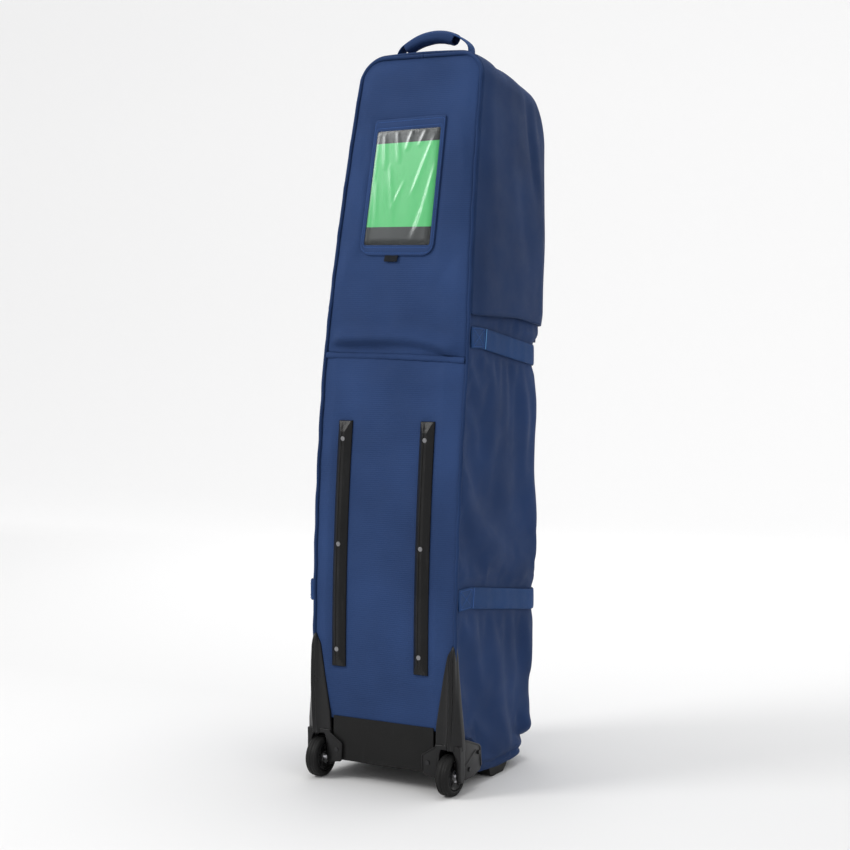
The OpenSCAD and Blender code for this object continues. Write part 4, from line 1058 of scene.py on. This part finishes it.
leg_angle = math.degrees(math.asin(HANDLE_X / ARCH_R)) - 3
mid_path = [arch(a, ARCH_R) for a in np.linspace(-leg_angle, leg_angle, 40)]
end_x, end_z = mid_path[-1][0], mid_path[-1][2]
leg = [(end_x + 3.2, HANDLE_Y, end_z - 4), (end_x + 4.6, HANDLE_Y, end_z - 8),
    (end_x + 4.8, HANDLE_Y, PIVOT + 1.5),
       (end_x + 5.4, HANDLE_Y, PIVOT - 2.2), (end_x + 8.5, HANDLE_Y, PIVOT - 4.3),
       (end_x + 14, HANDLE_Y, HOOD_TOP + 0.9 - 0.5),
       (end_x + 19, HANDLE_Y, HOOD_TOP - 0.6), (end_x + 24, HANDLE_Y, HOOD_TOP - 3.0)]
lean = end_x + mid_path[0][0]
path = np.array([(lean * min(max(z - PIVOT, 0) / 12, 1) - x, y, z) for x, y, z in leg[::-1]] + mid_path + leg)
pts = hood(path)
side = np.tile((0, 1.0, 0), (len(pts), 1))
outs = np.cross(side, unit(np.gradient(pts, axis=0)))
outs *= np.where((outs[:, 2:] < 0) & (np.abs(outs[:, 2:]) > 0.02), -1.0, 1.0)
o = ribbon("handle_web", pts, side, outs, 0.025, 0.0028, webbing)
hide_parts("handle_webbing")
hood((0, HANDLE_Y, PIVOT - 3.5))
hood((0, HANDLE_Y, PIVOT + 4.5))
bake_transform(o)

parts = []
for s in (-1, 1):
    gx, gy = np.meshgrid(np.linspace(-17, 15, 13), np.linspace(-16, 16, 13), indexing="ij")
    top_z = HOOD_TOP + 1.6 - 0.05 * (np.abs(gx) / 6) ** 2
    top_z = top_z - 9 * np.clip((gx + HANDLE_X - 6 - 75) / 45, 0, 1) ** 2 - 0.022 * (gy + 16)
    patch = np.stack([s * (HANDLE_X - 2 + gx), HANDLE_Y + gy, top_z - 0.4], -1)
    parts.append(sheet_mesh(f"patch{s}", hood(patch), 0.0016, webbing, outward=s, levels=1))
for q in parts:
    apply_modifiers(q)
o = join("handle_anchor_patches", parts)
place_piece(o, "case", "webbing", "handle_tabs")

# the padded grip: a soft sleeve, open at both ends, folded round the webbing
ang = np.radians(np.arange(0, 360, 15))
span, rings = 29.0, []
for q in np.linspace(-1, 1, 29):
    swell = 1 - 0.10 * abs(q) ** 3
    rings.append([(q * span, 14.4 * swell * np.sign(math.cos(a)) * abs(math.cos(a)) ** 0.75,
                   -8.0 + 10.4 * swell * np.sign(math.sin(a)) * abs(math.sin(a)) ** 0.8
                   - 1.1 * (math.sin(a) < -0.95)) for a in ang])
inner = [[(q * span, 11.0 * np.sign(math.cos(a)) * abs(math.cos(a)) ** 0.75,
           -8.0 + 7.6 * np.sign(math.sin(a)) * abs(math.sin(a)) ** 0.8) for a in ang]
           for q in np.linspace(1, -1, 15)]
loops = rings + [[(q[0] + 0.35, q[1] * 0.93, -8 + (q[2] + 8) * 0.9) for q in rings[-1]]] + inner
loops += [[(q[0] - 0.35, q[1] * 0.93, -8 + (q[2] + 8) * 0.9) for q in rings[0]]]
grip = np.array(loops)
wrinkle = soft_noise(grip * (5, 1, 1), 16, 51) * 0.55
verts = []
for i, loop in enumerate(grip):
    for j, (angle, y, dr) in enumerate(loop):
        extra = wrinkle[i, j] if i < 29 else 0
        x, _, z = arch(angle - 6.5, ARCH_R + 2.8 + dr * (1 + 0.06 * extra))
        verts.append((x, HANDLE_Y + y * (1 + 0.03 * extra), z))
k = len(ang)
uv = [(i * 0.0032, j * 0.0033) for i in range(len(loops)) for j in range(k)]
o = new_object("handle_grip_padding", hood(verts), loop_faces(len(loops), k, ring=True), body_cloth, uv=uv)
subdivide(o)
place_piece(o, "top_handle", "body_fabric", "handle_grip")


# ---- wheel housings ----
def at_heights(z, *pairs):
    return float(np.interp(z, [p[0] for p in pairs], [p[1] for p in pairs]))


def fin_section(z):
    """The right fin's section at height z, from its inner edge round the case's corner to its front edge."""
    inner = at_heights(z, (76, 103), (113, 104.5), (200, 119), (232, 125), (243, 131), (248, 134))
    ridge1 = at_heights(z, (76, 129), (118, 131.5), (190, 132.0), (225, 133), (248, 135))
    ridge2 = at_heights(z, (76, 136.5), (103, 138), (134, 139.5), (165, 140.6), (190, 140.4), (225, 139.6),
        (248, 138))
    outer = at_heights(z, (76, 151.5), (100, 151), (155, 146), (205, 142.4), (232, 141.2), (248, 140))
    front = at_heights(z, (76, 10), (98, 9), (160, 7), (243, 4))
    gap = ridge2 - ridge1
    dip = 0.5 * gap * at_heights(z, (76, 0.5), (100, 0.9), (225, 1), (240, 0.3))
    high = at_heights(z, (76, 12.0), (110, 13.2), (200, 12.6), (248, 11.0))
    low = high - 4.6
    pts = [(inner - 0.4, -2.2), (inner - 0.2, -low + 2.4), (inner + 0.5, -low + 0.5), (inner + 2.2, -low),
           (inner + (ridge1 - inner) * 0.45, -low + 0.7), (ridge1 - 4.0, -low - 0.3),
           (ridge1 - 1.3, -high + 0.8),
           (ridge1, -high), (ridge1 + 1.2, -high + 0.7), ((ridge1 + ridge2) / 2, -high + dip),
           (ridge2 - 1.2, -high + 0.9), (ridge2, -high + 0.3), (ridge2 + 1.4, -high + 1.5),
           ((ridge2 + outer) / 2 + 0.8, -low + 1.2), (outer - 0.7, -low + 4.2), (outer + 0.1, -1.2),
           (outer + 0.1, front - 2.5),
           (outer - 0.2, front - 0.6), (outer - 1.3, front), (139.4, front + 0.3)]
    fade = 1.0 if z < 226 else math.sqrt(max(1 - ((z - 226) / 22.3) ** 2, 0.01))
    out = []
    for x, y in pts:
        x = 136 + (x - 136) * (0.35 + 0.65 * fade)
        if y < -2:
            y = -2 + (y + 2) * (0.25 + 0.75 * fade)
        out.append((x, y + float(back(z)) + 3.0, z))
    return out


def arm_section(z, x_in, x_out, y_back, y_front, r):
    loop = rounded(x_in, x_out, y_back, y_front, r, per_side=3, per_corner=4)
    return [(x, y, z) for x, y in loop]


def loft(name, sections, material, levels=2):
    """Closed sections of equal count joined in to one solid."""
    n, k = len(sections), len(sections[0])
    o = new_object(name, np.array(sections).reshape(-1, 3), loop_faces(n, k), material)
    if levels:
        subdivide(o, levels)
        apply_modifiers(o)
    return o


def shrink(section, k):
    """The section drawn in towards its own middle."""
    q = np.array(section, float)
    c = q.mean(0)
    q[:, :2] = c[:2] + (q[:, :2] - c[:2]) * k
    return [tuple(v) for v in q]


def housing(sign, side_name):
    flip = np.array((sign, 1, 1.0))

    def put(points):
        return axle(np.asarray(points, float) * flip)

    parts = []
    heights = np.concatenate([[76, 78, 82], np.linspace(88, 220, 23), np.linspace(225, 248, 9)])
    fin = put([fin_section(z) for z in heights])
    parts.append(sheet_mesh("fin", fin, 0.0028, moulding, outward=-sign, levels=2, rim=0.5))
    # the arms that hold the wheel, flaring in to the arch: height, reach towards the wheel, back and front
    outer_arm = ((84, 128, -9.5, 10), (78, 133, -9.4, 10.5), (74, 137, -9.2, 10.6), (68, 140.2, -9.0, 10.4),
                 (56, 141.8, -8.6, 10), (44, 142, -8.6, 9.6), (36, 142, -9.2, 9.2), (30, 142, -8.8, 8.8),
                 (26, 142, -6.8, 6.8), (24, 142.3, -4.2, 4.2))
    inner_arm = ((84, 121, -9.5, 12), (78, 117, -9.4, 12), (74, 114, -9.2, 12), (68, 112.2, -9.0, 12),
                 (50, 111.6, -8.8, 11), (36, 111.4, -8.6, 9), (28, 111.2, -7, 7), (24, 110.8, -4.5, 4.5))
    arms = [[arm_section(z, x, 151.2 - 0.4 * (z > 60), y0, y1, min(2.6, (y1 - y0) / 2.2)) for z, x, y0,
        y1 in outer_arm],
            [arm_section(z, 103.2, x, y0, y1, 2.0) for z, x, y0, y1 in inner_arm]]
    for rows, tip in zip(arms, (0.9, 0.8)):
        rows = [shrink(rows[0], 0.9)] + rows + [[(x, y, z - tip) for x, y, z in shrink(rows[-1], 0.6)]]
        parts.append(loft("arm", [put(r) for r in rows], moulding))
    # the roof over the wheel, and the flange down the side with its rib and its raised lip
    for shape, low, high, bevel, segments in (
            ([(-9, 76.5), (-9, 84), (14, 84), (40, 80), (42, 76.5)], 104.5, 146.5, 1.0, 2),
            ([(6, 92.5), (22, 90), (62, 75.5), (67.5, 70), (70.5, 38), (66, 31), (40, 25.5), (12, 25)],
             144.4, 148.8, 1.1, 3),
            ([(9, 48.5), (10.5, 45.6), (50.5, 66.6), (49.5, 69.5)], 148.0, 149.9, 0.8, 3),
            ([(8, 92.2), (8, 89.2), (22, 86.6), (61, 72.4), (64, 69), (67, 37), (70.3, 38), (67.4, 70),
            (62, 75.2),
              (22, 89.8)], 148.0, 149.7, 0.6, 2)):
        parts.append(solid("side", shape, low, high, lambda a, b, d: put((d, a, b)), moulding, bevel,
            segments))
    # the flange across the back, and its raised edge
    for shape, low, high, bevel, segments in (
            ([(108, 84), (103.5, 80), (80.5, 65.5), (78.5, 62.5), (79.5, 36), (83, 31.5), (108, 28)], -5.0,
            -9.4, 1.2, 3),
            ([(104, 80.4), (80.4, 65.7), (78.4, 62.6), (79.4, 36), (81.4, 36.6), (80.6, 61.8), (82, 64.1),
            (104.5, 77.6)],
             -9.0, -10.3, 0.5, 2)):
        parts.append(solid("back", shape, low, high, lambda a, b, d: put((a, d, b)), moulding, bevel,
            segments))
    apply_modifiers(parts[0])
    o = join(f"wheel_housing_shell_{side_name}", parts)
    return place_piece(o, "case", "moulded_plastic", f"wheel_housing_{side_name}")


housing(1, "right")
housing(-1, "left")


def ring_of(name, profile, sign, material, sides=56):
    """A part turned about the wheel's axis. profile holds (distance along the axis, radius)."""
    verts, k = [], len(profile)
    for a in 2 * math.pi * np.arange(sides) / sides:
        verts += [axle((sign * (WHEEL_X + d), r * math.sin(a), WHEEL_Z + r * math.cos(a))) for d,
            r in profile]
    o = new_object(name, verts, loop_faces(sides, k, ring=True), material)
    subdivide(o)
    apply_modifiers(o)
    return o


WHEEL_Z, WHEEL_X = 34.4, 128.0
TYRE = [(-11.6, 25), (-11.9, 29), (-10.6, 32.6), (-8.2, 34.1), (-6.6, 34.3), (-5.9, 33.5), (-5.2, 34.35),
    (-2.6, 34.4), (-1.0, 34.4),
        (-0.4, 33.6), (0.4, 33.6), (1.0, 34.4), (2.6, 34.4), (5.2, 34.35), (5.9, 33.5), (6.6, 34.3),
        (8.2, 34.1), (10.6, 32.6), (11.9, 29), (11.6, 25),
        (8, 24.5), (-8, 24.5)]
for side_name, sign in (("right", 1), ("left", -1)):
    o = ring_of(f"tyre_ring_{side_name}", TYRE, sign, tyre_rubber)
    place_piece(o, f"wheel_{side_name}", "wheel_rubber", f"tyre_{side_name}")
    core = [(-10.6, 24.9), (-11.0, 22.6), (-8.4, 20.6), (-7.6, 13), (-10.8, 10.4), (-11, 7.2), (-9.5, 7.0),
            (9.5, 7.0), (11, 7.2), (10.8, 10.4), (7.6, 13), (8.4, 20.6), (11.0, 22.6), (10.6, 24.9)]
    parts = [ring_of("disc", core, sign, core_plastic)]
    for k in range(5):
        a = 2 * math.pi * k / 5
        spoke = [(11.5, -1.6), (21.5, -2.2), (21.5, 2.2), (11.5, 1.6)]
        parts.append(solid("spoke", spoke, -10.2, 10.2, lambda r, w, d,
            a=a: axle((sign * (WHEEL_X + d), r * math.sin(a) + w * math.cos(a),
                           WHEEL_Z + r * math.cos(a) - w * math.sin(a))), core_plastic, bevel=0.7))
    o = join(f"wheel_core_disc_{side_name}", parts)
    place_piece(o, f"wheel_{side_name}", "wheel_plastic", f"wheel_core_{side_name}")


# ---- skid rails: low ridges with hipped ends, a groove along the crest and a recess round each screw ----
RAIL_X, RAIL_SHIFT, RAIL_LOW, RAIL_HIGH, RAIL_W = 81.0, 7.0, 195.0, 615.0, 27.0


def rail(sign, side_name):
    middle, half = sign * RAIL_X - RAIL_SHIFT, RAIL_W / 2
    rows = []
    for z in np.concatenate([[RAIL_LOW, RAIL_LOW + 0.8], RAIL_LOW + np.array([6, 12, 18, 20]),
        np.linspace(230, 580, 26),
                             RAIL_HIGH - np.array([20, 18, 12, 6, 0.8]), [RAIL_HIGH]]):
        end = min(z - RAIL_LOW, RAIL_HIGH - z)
        rise = min(end / 18, 1.0)
        high, crest = 3.2 + 6.8 * rise, 12.3 + (4.6 - 12.3) * rise
        if end < 0.5:
            high, crest = 2.2, 12.0
        groove = 0.9 * rise
        section = [(-half, 0.6), (-half, -1.6), (-half + 0.5, -2.4), (-crest - 0.7, -high + 0.7),
            (-crest + 0.3, -high),
                   (-crest * 0.45, -high), (-crest * 0.33, -high + groove), (-crest * 0.1, -high + groove),
                   (0.0, -high),
                   (crest - 0.3, -high), (crest + 0.7, -high + 0.7), (half - 0.5, -2.4), (half, -1.6),
                   (half, 0.6)]
        rows.append([(middle + x, float(back(z)) - 0.3 + y, z) for x, y in section])
    o = loft("rail", [axle(r) for r in rows], rail_plastic, levels=0)
    for k in range(3):
        z = RAIL_LOW + 30 + k * (RAIL_HIGH - RAIL_LOW - 61) / 2
        ring = [(5.0 * math.cos(a), 4.7 * math.sin(a)) for a in np.radians(np.arange(0, 360, 12))]
        pit = solid("pit", ring, float(back(z)) - 20, float(back(z)) - 7.6, lambda a, b,
            d: axle((middle + a, d, z + b)), rail_plastic)
        m = o.modifiers.new("Pit", "BOOLEAN")
        m.object, m.operation, m.solver = pit, "DIFFERENCE", "EXACT"
        apply_modifiers(o)
        bpy.data.objects.remove(pit)
    sharp(o, 22)
    o.name = f"rail_strip_{side_name}"
    return place_piece(o, "case", "rail_plastic", f"rail_{side_name}")


rail(1, "right")
rail(-1, "left")

# ---- CAD nodes that are shown as they are, with finished materials ----
FINISH = {"base_tray": base_plastic, "back_board": board_plastic, "front_feet": base_plastic,
          "bearings_left": zinc, "bearings_right": zinc, "axle_bolts": zinc, "housing_screws": black_screw,
          "rail_screws": screw_metal, "zip_tape_fixed": tape_cloth, "zip_tape_flap": tape_cloth,
          "zip_chain_fixed": chain_plastic, "zip_chain_flap": chain_plastic}
for name, o in nodes.items():
    if o.hide_render:
        continue
    finish = FINISH.get(name, enamel if name.startswith("zip_") else buckle_plastic)
    o.data.materials.clear()
    o.data.materials.append(finish)

# ---- camera, light and floor ----
cam = bpy.data.objects.new("camera", bpy.data.cameras.new("camera"))
cam.location = (1.309, -2.2936, 0.683)
cam.rotation_euler = (math.radians(90 - 1.7), 0, math.radians(30))
cam.data.lens = 63.1
bpy.context.scene.collection.objects.link(cam)
bpy.context.scene.camera = cam

world = bpy.data.worlds.new("studio")
world.use_nodes = True
world.node_tree.nodes["Background"].inputs[0].default_value = (0.915, 0.915, 0.92, 1)
world.node_tree.nodes["Background"].inputs[1].default_value = 0.8
bpy.context.scene.world = world
bpy.context.scene.view_settings.view_transform = "Standard"


def area(name, at, target, size, power, colour=(1, 1, 1)):
    light = bpy.data.lights.new(name, "AREA")
    light.shape, light.size, light.energy, light.color = "DISK", size, power, colour
    o = bpy.data.objects.new(name, light)
    o.location = at
    o.rotation_euler = (Vector(target) - Vector(at)).to_track_quat("-Z", "Y").to_euler()
    bpy.context.scene.collection.objects.link(o)
    return o


area("key", (-2.4, -2.6, 2.9), (0, 0, 0.6), 1.6, 80, (1, 0.99, 0.975))
area("fill", (3.2, -1.6, 2.2), (0, 0, 0.6), 2.4, 8, (0.95, 0.97, 1))
area("top", (0.3, 0.4, 3.6), (0, 0, 0.8), 1.6, 42)
area("rim", (-1.8, 2.6, 2.2), (0, 0, 0.8), 1.4, 10)

m, t, p = shader("floor_paper")
paper = node(t, "ShaderNodeTexNoise", {"Scale": 60.0, "Detail": 3.0})
bumped(t, p, paper.outputs[0], 0.05, 0.001)
p.inputs["Base Color"].default_value = (0.72, 0.72, 0.72, 1)
p.inputs["Roughness"].default_value = 0.9
place = node(t, "ShaderNodeSeparateXYZ")
link(t, node(t, "ShaderNodeTexCoord").outputs["Object"], place.inputs[0])
# painted light: the floor and its sweep glow more the farther back they lie, to brighten the far floor and
# the backdrop
link(t, ramp(t, place.outputs[1], 0.3, 3.0, 0.0, 0.32), p.inputs["Emission Strength"])
p.inputs["Emission Color"].default_value = (1, 1, 1, 1)
p.inputs["Specular IOR Level"].default_value = 0.1
sweep = [(-9.0, 0.0), (5.0, 0.0)] + [(5.0 + 2.5 * math.sin(a), 2.5 - 2.5 * math.cos(a))
    for a in np.radians(np.linspace(8, 90, 12))]
sweep += [(7.5, 9.0)]
floor = new_object("floor", [(xx, y0 * math.cos(math.radians(30)), z0) for y0, z0 in sweep
    for xx in (-12, 12)],
                   [(2 * i, 2 * i + 1, 2 * i + 3, 2 * i + 2) for i in range(len(sweep) - 1)], m)
